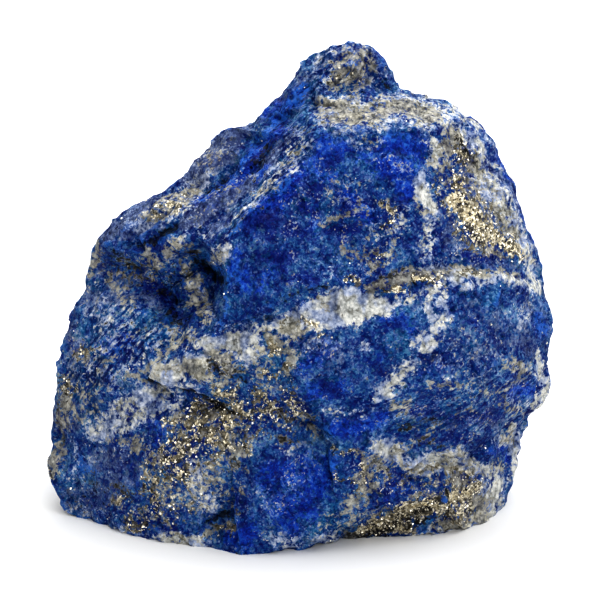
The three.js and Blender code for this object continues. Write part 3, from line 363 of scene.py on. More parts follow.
PYRITE = [
    # the right side
    (0.9, (20.2, 49.6, 0.6), (20.6, 48, 0.9)),
    (1.1, (20.4, 46.4, 1.2), (21.4, 44.8, 1.6), (22.8, 43.2, 1.7), (24.2, 41.8, 1.6), (25.8, 41, 1.3),
        (27.6, 40.2, 1.2), (28.4, 39.2, 0.8)),
    (0.8, (21.2, 53.6, 0.9), (20.6, 52, 1.1), (20.8, 50.6, 1)),
    (0.6, (18.4, 46.4, 1), (18.8, 44, 1)),
    (0.6, (20.6, 42.4, 1), (22.4, 40.2, 1), (25, 39.4, 0.8)),
    (0.62, (17.6, 49, 0.7), (18.2, 46.4, 0.8)),
    # the front
    (0.8, (10.8, 45.4, 0.7), (12, 44.6, 0.9), (11.4, 43.2, 0.9), (10.4, 42.8, 0.5)),
    (0.7, (10, 38.6, 0.7), (11.4, 39.6, 0.6)),
    (0.9, (6, 35.3, 0.4), (6.6, 36.4, 0.5), (7.5, 35.4, 0.4)),
    # along the main vein
    (0.85, (15, 35.6, 0.6), (17, 35.7, 0.8), (18.8, 35.6, 0.7)),
    (0.75, (11, 34.8, 0.5), (13, 34.4, 0.6), (14, 33.8, 0.4)),
    (0.7, (20.6, 36.6, 0.5), (22.8, 37, 0.4)),
    (0.8, (0.2, 30.6, 0.5), (1.4, 29.8, 0.6), (2.2, 29.6, 0.4)),
    (0.7, (-1.6, 30.8, 0.6), (-2.6, 29.8, 0.6)),
    (0.75, (2.8, 28.4, 0.5), (4.2, 28.2, 0.4)),
    (0.85, (-4, 27.8, 0.5), (-3.4, 26.4, 0.7)),
    (0.85, (-4.4, 23.6, 0.7), (-3.6, 22.8, 0.6)),
    (0.7, (-2.6, 23.4, 0.5), (-1.2, 24.6, 0.5), (-0.8, 22.8, 0.5)),
    # under the knobs
    (0.85, (-10.6, 20.8, 0.9), (-8.8, 20.8, 1), (-8.6, 18.4, 1.1), (-7.4, 17.4, 1)),
    (0.8, (-5.8, 20.8, 1.2), (-4.2, 20, 1.2), (-3.2, 18.8, 1.1), (-5.2, 18.6, 1)),
    (0.7, (-1.4, 21.2, 1), (-0.4, 19.4, 0.9), (-1.4, 17.6, 0.9)),
    (0.9, (-14, 19.2, 0.8), (-12.4, 18.2, 1), (-13, 16.8, 1)),
    (0.9, (-11.2, 19.4, 0.7), (-9.6, 17, 1), (-10, 16.4, 0.9)),
    (0.9, (-11.8, 15.6, 1.1), (-10.8, 15, 0.9)),
    (0.75, (-7.8, 14.8, 0.7), (-7, 14, 0.5)),
    (0.6, (-2, 16.4, 0.9), (-0.4, 15, 0.6)),
    (0.7, (-17.4, 17.2, 0.8), (-16, 16.8, 0.7), (-14.6, 17, 0.7)),
    (0.85, (-16.4, 14.6, 1), (-14.8, 14.4, 1), (-15.4, 12.8, 1.1), (-17, 12.6, 1)),
    (0.85, (-16.8, 10.8, 0.8), (-15, 10.8, 1), (-14.6, 9.6, 0.5)),
    (0.75, (-19.4, 12.2, 0.7), (-18.2, 12, 0.6)),
    (0.8, (-20, 9.6, 0.7), (-19.2, 8.4, 0.9), (-18.8, 6.6, 0.7)),
    (0.6, (-23.8, 8, 0.8), (-21.6, 7.8, 0.7)),
    (0.85, (-22, 5.4, 0.7), (-20.8, 4.6, 0.8), (-20, 4.8, 0.5)),
    (0.6, (-22, 6.8, 0.5), (-19.4, 6, 0.6), (-16.4, 6.6, 0.6)),
    (0.6, (-11, 4, 0.8), (-8.8, 4.2, 0.7)),
    # low on the right
    (0.75, (4.4, 13.4, 0.4), (6.6, 13.4, 0.5)),
    (0.75, (7.6, 12.2, 0.6), (8.4, 11.2, 0.7), (8.6, 9.8, 0.7)),
    (0.65, (5, 10.6, 0.6), (6.8, 9.6, 0.7), (7, 8.4, 0.6)),
    (0.65, (10.2, 8.6, 0.7), (12.4, 9.4, 0.6), (11, 11.4, 0.6)),
    (1.15, (8, 3.8, 0.8), (10.4, 4.4, 1.3), (12.6, 4.8, 1.3), (14, 4.4, 0.9)),
    (1.15, (12.6, 6, 1), (15.2, 6.6, 1.3), (17.4, 7.2, 1.2), (18.6, 6.6, 1)),
    (0.95, (18.4, 6.4, 0.8), (19.8, 8, 1.1), (21.6, 8.6, 1.2), (23, 9.6, 0.8)),
    (0.95, (19.6, 6.2, 1), (21, 6.8, 1), (22.4, 6.8, 0.8)),
    (0.7, (20.4, 10.6, 0.8), (22.4, 10.8, 0.7)),
    # the left side
    (0.75, (-28.4, 26.4, 0.5), (-27.2, 26.2, 0.5)),
    (0.7, (-30.6, 22.8, 0.7), (-30, 21, 0.7), (-29.4, 22, 0.5)),
    (0.6, (-19.2, 44.2, 0.8), (-17.6, 45.2, 1), (-15.6, 45.6, 0.9), (-14.6, 46.8, 0.6)),
    # the peak and the shelf
    (0.6, (4.4, 62, 0.8), (6.2, 62.8, 0.9), (8, 61.8, 0.9)),
    # scattered through the blue
    (0.47, (-19.4, 7, 2), (-17, 12, 3), (-13, 15, 3.6), (-8, 17, 3.4), (-3, 19, 2.6)),
    (0.4, (-16, 6, 2.4), (-12, 8, 2)),
    (0.4, (8, 11, 2), (12, 10, 2.4), (20, 9, 3)),
    (0.55, (21.6, 47.6, 1.2), (23.4, 45.6, 1.4), (25.4, 43.6, 1.2)),
    # small spots: low on the left
    (0.78, (-14.6, 18.6, 0.9), (-13.4, 15.8, 1), (-14.4, 14.4, 0.8)),
    (0.8, (-15.6, 17.6, 0.8), (-13.6, 17, 0.9)),
    (0.64, (-10.8, 25, 0.6), (-9.6, 24.4, 0.8)),
]
# Painted shade: dark marks where hollows, cracks, undercuts and the foot fall into shadow
PAINTED_SHADE_MARKS = [
    # the hollow
    (0.85, (-14.2, 39.3, 0.3), (-12.8, 38, 0.5), (-11.2, 36.4, 0.6), (-9.9, 35.3, 0.4)),
    (0.54, (-17.8, 34.2, 1), (-16.8, 33, 1.2), (-16.4, 31.4, 0.9)),
    (0.36, (-25.4, 38.4, 1.2), (-22, 36.4, 1.8), (-19.6, 34.8, 1.4), (-18, 36.6, 1.2)),
    (0.9, (-20.8, 39.7, 0.25), (-18.8, 40.3, 0.4), (-17.2, 41.4, 0.4), (-16, 42.8, 0.25)),
    (0.48, (-16.4, 37.4, 0.6), (-16.2, 35.4, 0.7)),
    # the left flank
    (0.8, (-11.8, 47, 0.3), (-9.8, 48.5, 0.4)),
    (0.7, (-7, 49.9, 0.4), (-5.4, 51.2, 0.7), (-3.6, 53.4, 0.5)),
    # under the knobs and at the foot
    (0.95, (-19.8, 23.4, 0.25), (-18.2, 22, 0.35), (-15.6, 21.4, 0.3), (-13, 20.2, 0.35),
        (-9.6, 18.6, 0.35), (-8, 17.6, 0.25)),
    (0.7, (-8.4, 23.8, 0.5), (-7, 22.8, 0.5)),
    (0.9, (-12.2, 5.1, 0.3), (-10, 5.9, 0.45), (-7.8, 6.4, 0.35)),
    (0.3, (-31, 9, 1.2), (-28, 8, 1.6), (-25.6, 9, 1.2), (-27, 11, 1.2)),
    (0.7, (7, 2.8, 0.5), (9.4, 3.2, 0.7), (12, 4.4, 0.7), (15, 5.2, 0.5), (17.8, 6, 0.4)),
    # along the main vein
    (0.8, (-2, 32.6, 0.2), (0, 34, 0.25), (2.2, 35, 0.4), (3.8, 34.4, 0.35)),
    (0.8, (14.4, 35.2, 0.3), (16.4, 34.9, 0.3)),
    (0.7, (9.8, 35.8, 0.4), (13.6, 36.6, 0.4)),
    # the front, the right and the peak
    (0.8, (20.8, 53.4, 0.5), (21.4, 52, 0.7), (22.2, 51, 0.6)),
    (0.6, (10.8, 61.4, 0.5), (11.6, 60.6, 0.5)),
    (0.5, (13, 16.8, 0.6), (18, 17.6, 0.6)),
    (0.6, (15.6, 14.4, 0.5), (18.6, 14.2, 0.4)),
    # small spots: the left flank
    (0.5, (-24.6, 39.4, 0.7), (-21, 37.6, 0.8)),
    (0.42, (-18.4, 31.6, 0.8), (-14, 30.6, 0.8)),
    (0.86, (-19.8, 40.4, 0.4), (-18.6, 41, 0.6), (-17.2, 42, 0.6), (-16.3, 43.1, 0.3)),
    (0.58, (-18, 30.6, 0.9), (-15.6, 30.4, 0.9)),
    # small spots: low on the left
    (0.85, (-11.6, 25, 0.5), (-10.6, 24, 0.6)),
    (0.36, (-31, 23, 0.9), (-31, 16, 0.9)),
    (0.5, (-8.6, 24.6, 0.7), (-7.4, 23.6, 0.7)),
    (0.5, (-23.6, 9.4, 0.8), (-22.2, 8.6, 0.7)),
    (0.5, (-8.8, 12.6, 0.7), (-7.6, 11.8, 0.6)),
    (0.5, (-20.6, 9.4, 0.7), (-19.4, 8.6, 0.6)),
    (0.5, (-9.2, 25, 0.5), (-8.2, 24.6, 0.5)),
    # small spots: the right side
    (0.45, (18.4, 46, 0.7), (18.8, 44.4, 0.7)),
    # small spots: low on the right
    (0.75, (6.4, 2.2, 0.8), (10.4, 2.8, 0.8), (13.8, 3.2, 0.6)),
    (0.58, (14.6, 5.6, 0.7), (17, 6.2, 0.8)),
    (0.44, (15.4, 15.2, 0.8), (17.4, 15, 0.8)),
    (0.62, (6, 2.8, 0.8), (8, 2.8, 0.7)),
    (0.66, (14.6, 6.3, 0.7), (17.2, 6.8, 0.8)),
    (0.54, (12.2, 5.6, 0.6), (14, 6.2, 0.6)),
    (0.5, (17.6, 7.3, 0.6), (19.6, 7.4, 0.6)),
    (0.46, (9.4, 12.6, 0.7), (11, 11.6, 0.6)),
    # small spots: the middle, under the main vein
    (0.58, (-3, 18.4, 0.8), (-1.4, 17.4, 0.8)),
    (0.5, (0.6, 18.8, 0.7), (1.4, 17.4, 0.7)),
    (0.46, (-2.8, 15.4, 0.7), (-1.2, 14.8, 0.7)),
]
SLATE = [
    # the plates of the left flank
    (1.15, (-14.6, 49, 1.1), (-12.6, 51, 2), (-10.4, 53, 2.2), (-8.6, 54.6, 1.4), (-6.6, 56, 0.6)),
    (1.1, (-15.4, 42.6, 1), (-12.6, 44.6, 1.7), (-9.6, 46.4, 1.5), (-7, 48.2, 1.4), (-4.6, 50.4, 1),
        (-2.6, 52.8, 0.8), (-0.6, 55, 0.5)),
    (0.8, (-12, 42, 0.9), (-9, 44, 0.9)),
    (1.05, (-25.4, 41.4, 1), (-23.6, 42.6, 1.6), (-21.6, 44, 1.5), (-18.6, 46.6, 0.6)),
    (0.75, (-6, 56.4, 0.8), (-4, 57.4, 0.8), (-1.6, 60, 0.7), (1.6, 62.6, 1), (3, 65, 1)),
    # the peak and the shelf
    (0.8, (3.4, 64.6, 1), (6, 65.4, 1.2), (9, 65, 1.2), (10.6, 63, 0.9)),
    (0.7, (4.6, 63, 1.6), (8, 62, 2)),
    (0.6, (14.6, 56, 0.8), (17, 55.4, 1)),
    # the right side
    (0.66, (18.6, 48, 1), (18.8, 46, 1.5), (18.8, 42.8, 1.8), (20.4, 40, 2), (23.6, 38.8, 1.8),
        (27, 38, 1.3)),
    (0.9, (19, 55.4, 1.4), (21.6, 53.4, 2.2), (23, 50.4, 2.4), (25, 49, 1.6)),
    (0.9, (21, 48.4, 1.6), (23.4, 46.6, 2.4), (26, 44.4, 2)),
    (0.8, (26.8, 48.4, 0.9), (28, 46, 0.8), (29.6, 42.4, 0.6), (30.6, 39, 0.6)),
    # violet spots on the front
    (0.5, (2.6, 26, 2), (5.4, 24.8, 2)),
    (0.7, (11, 32.2, 1), (14, 33, 0.9)),
    # the lump on the right
    (0.55, (22, 31.4, 2.4), (27, 28.6, 2.4), (24, 25.6, 2), (20, 28, 1.8)),
    (0.6, (14, 18.6, 1.4), (19, 17.6, 1.8), (24.6, 18.6, 1.6)),
    (0.7, (29, 30, 1), (28.4, 28, 1.4), (29.6, 26, 1)),
    # the left side
    (0.7, (-25.6, 37.6, 1.6), (-24, 35.4, 1.6), (-20.4, 36.4, 1.6)),
    (0.5, (-27, 33.6, 1.2), (-25, 30, 1.4)),
    (0.6, (-28, 20, 1.8), (-30, 22, 1.2), (-29.6, 17.4, 1.2)),
    (0.66, (-26, 13, 2), (-23.6, 12.6, 2.4), (-21.4, 11.4, 1.8)),
    (0.66, (-30, 8.6, 1.6), (-26, 8, 2), (-24, 10, 2)),
    # small spots: the peak and the shelf
    (0.8, (4.4, 55.2, 0.5), (7.6, 55, 0.7)),
    (0.7, (1, 60, 1), (-1, 58, 0.9)),
    # small spots: the left flank
    (1, (-22, 42, 0.9), (-20, 42.4, 1.1), (-18, 43.4, 0.9)),
    (1.1, (-15.4, 49, 0.9), (-14, 49, 1.2), (-12.4, 48.4, 0.8)),
    (0.62, (-27.6, 36, 1), (-28, 33, 1)),
    (0.8, (-20, 34, 1.5), (-16, 31, 1.3)),
    (0.8, (-27, 33.6, 1.3), (-22, 33, 1.2)),
    # small spots: low on the left
    (0.62, (-10, 29.4, 1), (-8.4, 29.6, 0.9)),
    (0.75, (-30, 29.6, 1), (-29, 26, 1.4), (-29.6, 23, 1.2)),
    (0.7, (-27, 24.6, 1.4), (-25, 22.6, 1.2)),
    (0.66, (-20.6, 15.4, 1.2), (-22, 14, 1)),
    (0.66, (-29.6, 7, 1), (-27, 6.4, 1)),
    (0.62, (-14, 24.6, 0.8), (-11.6, 3.4, 0.5)),
    (0.66, (-30, 21, 1), (-29.6, 17, 1.2), (-27.6, 19, 1.2)),
    # small spots: the right side
    (0.75, (23.6, 55.8, 0.7), (25.2, 53.4, 0.7), (26, 50.8, 0.6)),
    # small spots: the lump on the right
    (0.6, (30.6, 33.4, 1), (31.6, 31, 0.8)),
    (0.62, (13.4, 24, 1), (17, 25.4, 1.4), (20, 25, 1)),
    (0.6, (22, 23, 1.2), (24.6, 23, 1.2)),
    (0.62, (29, 33, 1), (30, 30.6, 1.2)),
    (0.8, (23.4, 18.2, 1.1), (26, 17.4, 1)),
    # small spots: low on the right
    (0.75, (14.6, 15.4, 1), (17.6, 15, 1)),
    # small spots: the broad front
    (0.7, (-4.6, 46.6, 0.8), (-3.4, 46.4, 0.8)),
    # small spots: the middle, under the main vein
    (0.75, (-1, 26.6, 1.2), (1.4, 27.4, 1.5), (4.6, 26.8, 1.4)),
]
COBALT = [
    # the front
    (0.9, (3, 53.6, 1.4), (5.2, 52.6, 1.6), (2.6, 50.6, 1.6)),
    (0.9, (10.8, 53, 1.2), (13.4, 53.2, 1.6), (15.4, 51.8, 1)),
    (0.9, (-6.4, 43, 1.4), (-4, 45.4, 1.8), (-1.6, 47.8, 1.6), (0.6, 49.8, 1.2)),
    (0.6, (-5.6, 34.8, 1.8), (-3, 37, 1.6)),
    # under the main vein
    (0.95, (2, 21.6, 1.4), (5, 21.6, 1.4)),
    (0.7, (1, 24.6, 1.2), (4, 27, 1.2)),
    (0.8, (10.6, 30.4, 1), (13, 30.4, 1), (14.4, 29, 0.8)),
    (0.6, (9, 24.4, 1), (10.6, 26, 1)),
    (0.9, (4.6, 16.4, 1.2), (7.6, 16.2, 1.4), (10, 17.4, 1.2), (11.2, 18.4, 0.8)),
    (0.7, (-4, 10.6, 2.2), (0, 11.6, 2.4), (2.4, 9, 2), (-2.6, 7, 2.2), (-1, 4, 1.8)),
    (1, (-7, 3.6, 1.6), (-8, 1.8, 0.9)),
    # the right
    (0.9, (28, 21.4, 1.2), (30, 21.4, 0.8)),
    (0.8, (24.6, 14, 0.8), (26.6, 14.2, 0.9), (27.2, 12.6, 0.6)),
    (0.6, (16, 23.6, 1), (19, 24.6, 1)),
    (0.7, (12, 9.6, 1), (14, 9.4, 1), (11, 7.4, 1)),
    (0.9, (25, 4.2, 0.6), (24, 3.6, 0.4)),
    # the left
    (0.8, (-19.6, 17.2, 1), (-17.8, 16.4, 0.9), (-18.4, 14.8, 0.7)),
    (1.1, (-13.4, 45.4, 0.4), (-10.6, 47, 0.7), (-8.4, 48.8, 1), (-6, 51.6, 1), (-3.6, 54.4, 0.9),
        (-2, 56.4, 0.6)),
    (0.8, (-5.4, 57, 0.6), (-2.4, 58.4, 0.9), (-0.6, 60.4, 0.7)),
    # small spots: the peak and the shelf
    (0.95, (-3.4, 56.4, 0.8), (-1.6, 58, 0.8), (0.4, 60.2, 0.8)),
    # small spots: the left flank
    (0.6, (-12.4, 44.6, 0.9), (-10, 45.8, 0.9)),
    # small spots: low on the left
    (0.85, (-24.8, 27, 1.2), (-22.4, 27.8, 1.1)),
    (1.1, (-9, 3.2, 1.1), (-7.2, 2.4, 1)),
    (0.9, (-26.8, 24.6, 0.8), (-25.2, 23.6, 0.8)),
    # small spots: the right side
    (1, (14.8, 54.4, 0.8), (16.4, 53.4, 0.8)),
    (0.75, (23, 56.8, 0.6), (25, 54.8, 0.6), (26, 52, 0.6), (26.4, 50, 0.6), (28, 47.8, 0.7),
        (28.6, 45, 0.6), (30, 42.8, 0.6), (31.2, 39.6, 0.6)),
    # small spots: the lump on the right
    (0.8, (30.6, 31, 1), (31.8, 29, 1)),
    # small spots: low on the right
    (0.9, (12, 9.6, 1), (14, 9, 1)),
    (0.9, (3, 8.6, 1.3), (4, 12, 1.1)),
    # small spots: the broad front
    (0.95, (10.6, 50.4, 1.6), (13.6, 49.6, 2), (13.4, 47, 1.4)),
    (0.85, (-2.4, 48.4, 1.2), (-0.4, 50.6, 1.2)),
    (0.8, (-8, 39.4, 1), (-7.6, 36.4, 1.2)),
    (0.7, (3.6, 49, 1.2), (5, 50, 0.8)),
    (0.7, (7.4, 51.6, 1), (9, 52.4, 1)),
    (1.1, (11.6, 53.6, 1.3), (15.2, 53, 1.2)),
    (1.1, (6, 46.8, 1.1), (8.6, 44.2, 1.2)),
    (1, (-8.4, 37.4, 1), (-7.6, 34.8, 1)),
    (0.9, (-4.6, 50.4, 0.8), (-5.6, 49, 0.7)),
    (0.8, (1.6, 42, 1), (3.4, 54, 0.8)),
    # small spots: the middle, under the main vein
    (0.9, (0, 7, 1.4), (2, 5.6, 1)),
]
# Painted highlights: pale blue lines along edges and ridges that catch the light
PAINTED_EDGE_HIGHLIGHTS = [
    # the peak and the shelf
    (0.7, (-4.2, 56.4, 0.25), (-1.8, 58.6, 0.35), (0.4, 61, 0.25)),
    (0.52, (-5.6, 53.4, 0.8), (-2, 57.4, 1), (1, 60.6, 1)),
    (0.6, (-4.6, 54.6, 0.8), (-2, 57.2, 0.9)),
    # the left flank
    (0.78, (-13.6, 45.3, 0.2), (-12, 46.1, 0.3), (-10.4, 47.2, 0.35), (-8.8, 48.8, 0.35),
        (-7.4, 50.8, 0.3), (-6, 52.6, 0.25), (-4.8, 54.2, 0.25), (-3.8, 55.6, 0.2)),
    (1, (-12.2, 38.8, 0.25), (-9.7, 36.3, 0.3)),
    (0.8, (-9.6, 36, 0.25), (-9.5, 33, 0.25), (-10.1, 30.6, 0.25), (-10.8, 28.8, 0.2)),
    (0.9, (-9, 40.8, 0.25), (-8.2, 42.4, 0.25)),
    (0.55, (-8.6, 37, 0.7), (-8, 34.8, 0.7)),
    # low on the left
    (0.6, (-28.8, 13.6, 0.5), (-28, 11.8, 0.8), (-26, 11.4, 0.4)),
    (0.6, (-8, 0.6, 0.6), (-6.6, 0.6, 0.5)),
    (0.7, (-24, 27, 0.8), (-22.4, 27.4, 0.9)),
    (0.6, (-26.8, 24.4, 0.7), (-25.4, 23.6, 0.6)),
    # the lump on the right
    (0.6, (30.8, 30.8, 0.8), (31.6, 29, 0.8)),
    # low on the right
    (0.7, (12.4, 9, 0.7), (14, 9, 0.6)),
    (0.5, (3.6, 9, 0.7), (4.2, 12, 0.7)),
    # the broad front
    (0.46, (11.6, 54.4, 0.9), (15, 53.6, 0.9)),
    (0.8, (-3, 47.6, 0.8), (-1.2, 49.2, 0.8)),
    (0.66, (7, 45.8, 0.7), (9.6, 44.6, 0.6)),
]
DUSTY = [
    # the peak and the shelf
    (0.5, (3, 63, 2), (9, 62, 2.4)),
    # the left flank
    (0.42, (-16, 36, 2), (-22, 37, 2.4)),
    (0.46, (-22.6, 43, 1.6), (-19.4, 44, 1.4)),
    (0.48, (-20, 36, 1.8), (-25, 37, 1.6)),
    (0.5, (-14, 44.6, 1.4), (-8, 49, 1.2)),
    (0.48, (-12, 51, 1.8), (-8.6, 53.6, 1.2)),
    # low on the left
    (0.46, (-27, 34, 2.4), (-24, 29, 3.4), (-20, 26, 3), (-26, 22, 2.6)),
    (0.5, (-18, 10, 3), (-13, 8, 3), (-14, 15, 3)),
    (0.5, (-30, 7, 1), (-27, 6.4, 1.2), (-29.6, 10.6, 1.2)),
    (0.5, (-20, 15, 1.6), (-23, 14, 1.6)),
    (0.5, (-16.6, 20.6, 1.4), (-18.4, 19, 1.2)),
    (0.5, (-26.6, 16.6, 1.4), (-27.4, 24.6, 1.2)),
    (0.46, (-9, 29.6, 1.2), (-15, 27.2, 1.2)),
    (0.5, (-29, 27, 1.6), (-29.6, 22.6, 1.4)),
    (0.5, (-10, 23.6, 1.4), (-6, 24, 1.4)),
    (0.5, (-11.6, 3, 1.2), (-23, 3.4, 0.8)),
    (0.58, (-20.6, 6.4, 1.4), (-18.6, 5.4, 1)),
    (0.58, (-27.6, 6.8, 1.2), (-24.6, 5.4, 1)),
    # the right side
    (0.46, (21, 53, 2.4), (25, 47, 2.6), (28, 41, 2)),
    (0.5, (20, 36, 1.2), (23, 57, 1)),
    # the lump on the right
    (0.36, (18, 30, 3), (24, 26, 4), (18, 20, 3)),
    (0.5, (14, 24.4, 1.6), (18, 24.8, 1.6), (23, 23, 1.6)),
    (0.46, (28.6, 31, 2), (30, 34, 1.4)),
    # low on the right
    (0.44, (8, 12, 2.4), (14, 9, 3), (22, 8, 3)),
    (0.52, (-4, 2.6, 1.4), (0, 2.8, 1.6), (4, 3, 1.6), (8, 6, 1.6), (11, 6, 1.4)),
    # the broad front
    (0.4, (7, 48, 1.6), (10, 44, 2.2), (12, 40, 2), (7, 37, 1.6)),
    (0.48, (11, 50.6, 1.6), (14, 50, 1.4)),
    (0.6, (10, 46, 1.4), (13, 43, 1.8), (10.6, 39.6, 1.4)),
    # the middle, under the main vein
    (0.42, (-4, 20, 2.4), (-6, 25, 2)),
    (0.42, (0, 12, 2.4), (-3, 7, 2)),
    (0.52, (0, 26.8, 1.6), (4, 27, 1.6)),
]
BEDS_STEEP = [
    (0.25, (-20, 43, 4), (-10, 49, 4)),
    (0.9, (-9, 42, 1.6), (-4.6, 47.4, 2.6), (-1.4, 53, 3), (2, 60, 2.6), (4, 65, 2)),
    (0.8, (-28, 24, 4), (-21, 30, 4), (-16, 29, 2)),
]
BEDS_FLAT = [
    (0.8, (12, 19, 3), (20, 18, 4), (28, 21, 4)),
]
PLATES = [
    (1, (-24, 42.6, 2.4), (-18, 45, 2), (-12, 48, 4.6), (-5, 52, 3.6), (1, 60, 2.6)),
]
NAVY = [
    # the left flank
    (0.8, (-15, 30.6, 0.7), (-13, 29.9, 0.6)),
    (0.9, (-19.6, 35, 1.4), (-17, 33, 1.4), (-16, 31.4, 1)),
    (0.66, (-25.4, 38, 1), (-23, 36.6, 1.1), (-20.4, 37, 1)),
    (0.6, (-12.4, 50.6, 1.2), (-10, 52, 1.2)),
    # low on the left
    (0.7, (-9, 9.4, 0.9), (-7.4, 8.8, 0.9)),
    (0.7, (-22, 12.4, 1.2), (-20.6, 9.6, 1.2)),
    (0.6, (-27.4, 8.6, 1.4), (-25, 7, 1.2)),
    (0.7, (-13, 18.4, 1.2), (-9, 17.4, 1.4)),
    (0.66, (-30, 27.6, 1), (-28.4, 26.4, 1)),
    # the right side
    (0.9, (21.4, 39.2, 0.9), (24, 38.6, 0.9)),
    # the lump on the right
    (0.85, (11, 29.6, 1), (13, 29.8, 1)),
    (0.6, (15.6, 21.4, 1), (19, 20.4, 1.2)),
    (0.8, (14.8, 18.8, 1), (20, 18, 1), (25.4, 18.2, 1)),
    (0.85, (9.4, 24.5, 1), (11, 23.5, 0.9)),
    (0.8, (21.4, 30.4, 1.1), (23, 29.4, 1)),
    # low on the right
    (0.7, (15, 15.6, 0.8), (17.4, 15.4, 0.8)),
    (0.8, (20.6, 15.4, 1), (24, 15, 1)),
    # the broad front
    (0.9, (1, 47.8, 0.9), (1.9, 47.4, 1.4), (2.2, 46.2, 1.1)),
    (0.9, (4, 42.2, 1.1), (6.2, 42.4, 1.1), (5.6, 41, 1.1)),
    (1, (-6.2, 43.2, 1.2), (-4.2, 43.6, 1.2), (-4, 41.8, 0.9)),
    (0.85, (-5, 39, 1.4), (-2.6, 38.6, 1.5), (-0.8, 39.6, 1)),
    (0.85, (-2, 42.6, 1), (0.8, 42.2, 1.4)),
    (0.95, (-5.6, 51.4, 0.6), (-4, 53, 0.7), (-2.6, 54.6, 0.4)),
    (0.95, (0.4, 36.4, 1.2), (2, 35.8, 1)),
    (0.8, (-2.4, 36.6, 0.9), (-1.4, 35.6, 0.9)),
    (0.9, (3.6, 50.6, 1), (4.8, 51.8, 0.9)),
    (1, (4.2, 42.4, 1), (7, 42.2, 1)),
    (1.1, (0.4, 45.4, 1), (1.8, 44.6, 1)),
    # the middle, under the main vein
    (0.9, (3.2, 22.4, 1.3), (5, 21, 1.2)),
    (0.7, (-2.6, 14.4, 0.9), (-0.6, 12.6, 0.8)),
    (0.85, (-2.8, 18.8, 0.8), (-1.4, 17.6, 0.9)),
    (0.8, (-2.6, 15.8, 0.8), (-1.2, 14.8, 0.7)),
]

# Each list's name on the mesh, and over how many mm the edges of its strokes fade
DRAWN = {
    "calcite": (CALCITE, 1.5),
    "diopside": (DIOPSIDE, 1.6),
    "pyrite": (PYRITE, 2.4),
    # painted shade
    "painted_shade": (PAINTED_SHADE_MARKS, 0.8),
    "slate": (SLATE, 1.6),
    # painted highlights
    "painted_edge_highlights": (PAINTED_EDGE_HIGHLIGHTS, 1.0),
    "cobalt": (COBALT, 2.4),
    "navy": (NAVY, 2.0),
    "dusty": (DUSTY, 3.0),
    "beds_steep": (BEDS_STEEP, 3.0),
    "beds_flat": (BEDS_FLAT, 3.0),
    "plates": (PLATES, 2.0),
}

# The back, which the drawing doesn't show, has the same minerals in blotches of soft noise: their size in mm,
# the noise's seed, what the noise is multiplied by, what is added, and the most that it comes to
BACK_BLOTCHES = [
    ("calcite", 11, 1, 1.6, -0.5, 0.7),
    ("pyrite", 8, 3, 1.6, -0.3, 0.85),
    ("slate", 13, 4, 1.6, -0.1, 0.8),
    ("cobalt", 12, 5, 1.8, -0.1, 0.8),
    ("navy", 6, 9, 1.8, -0.2, 0.8),
    ("diopside", 7, 6, 2, -0.6, 0.7),
    ("diopside", 8, 3, 1.6, -0.1, 0.7),
]

# The main vein runs on through the stone as a sheet, beside two thinner ones: which way each faces, how far
# off it is, and half its thickness
VEIN_SHEETS_MM = [
    ((0.28, -0.22, -0.93), -21.0, 1.5),
    ((0.75, 0.1, 0.65), 30.0, 0.6),
    ((-0.5, 0.35, 0.79), 22.0, 0.5),
]
SHEET_EDGE_MM = 1.2
SHEET_WAVE_MM = 2.5
SHEET_WAVE_LENGTH_MM = 14

# Open cracks, as how deep they go and then the points of the crack
CRACKS_MM = [
    (0.7, (-20, 23, 0.2), (-18.5, 22, 0.35), (-16, 21.2, 0.4), (-14, 20.5, 0.4), (-12, 19.7, 0.35),
        (-9.4, 18.2, 0.2)),
    (0.5, (-12, 46.8, 0.2), (-9.6, 48.7, 0.3)),
    (0.5, (-8.4, 48.4, 0.2), (-6, 50.4, 0.4), (-3.2, 53.4, 0.25)),
    (0.6, (-19.6, 40.5, 0.2), (-17.6, 41.8, 0.4), (-16.1, 43, 0.2)),
    (0.6, (-9.8, 29.3, 0.2), (-6, 30.6, 0.3), (-3, 31.9, 0.3), (0, 33.3, 0.3), (2.2, 34.6, 0.3),
        (5, 34.7, 0.2)),
    (0.3, (0, 18.5, 0.2), (2, 16.6, 0.25), (5, 14.3, 0.3), (9.4, 14.4, 0.2)),
    (0.3, (-12.6, 4.8, 0.2), (-10, 5.8, 0.4), (-7.6, 6.8, 0.3)),
    (0.4, (13, 36.9, 0.2), (17, 37.4, 0.3), (21, 37.7, 0.2)),
    (0.5, (12, 13.6, 0.2), (17, 13.3, 0.4), (22, 13.9, 0.3), (27, 16.2, 0.2)),
]
CRACK_EDGE_MM = 0.9

# Knobs, as (right, up, radius): five of calcite and one at the foot
KNOBS_MM = [
    (-17.2, 23.9, 2.1),
    (-13.2, 24.5, 2),
    (-9.6, 25.2, 1.5),
    (-11.2, 27.8, 1.5),
    (-6.6, 27.4, 1.5),
    (19.8, 6.6, 2),
]
KNOB_HEIGHT = 0.33  # as a share of the radius

# The lower edge of the front hangs a little below the CAD's facets, by this much at the floor, less higher up
LOWER_EDGE_DROP_MM = 1.0
LOWER_EDGE_UP_TO_MM = 16

# The rest of the relief: the flat chips of the break, its fine roughness, the beds and the calcite
CHIPS_MM = [(3.4, 0.34, 1), (1.7, 0.26, 2)]  # size, height and the noise's seed
CHIPS_LOST_ON_PLATES = 0.65  # as a share of their height
ROUGHNESS_MM, ROUGHNESS_SIZE_MM = 0.10, 1.1
BEDS_HEIGHT_MM = 0.4
BEDS_ON_PLATES = 0.8
CALCITE_HEIGHT_MM, CALCITE_LUMPS_MM = 0.25, 1.6
CALCITE_BETWEEN_LUMPS = 0.4  # as a share of the height

# The beds of the left flank part along lines that run up to the right
BED_NORMAL = Vector((-0.68, -0.12, 0.72))
BED_RUN = Vector((0.6, 0.3, 0.7))
BEDS_PER_MM = 1.1
CHANGES_PER_MM_OF_RUN = 0.08
BED_SEED = 3.3


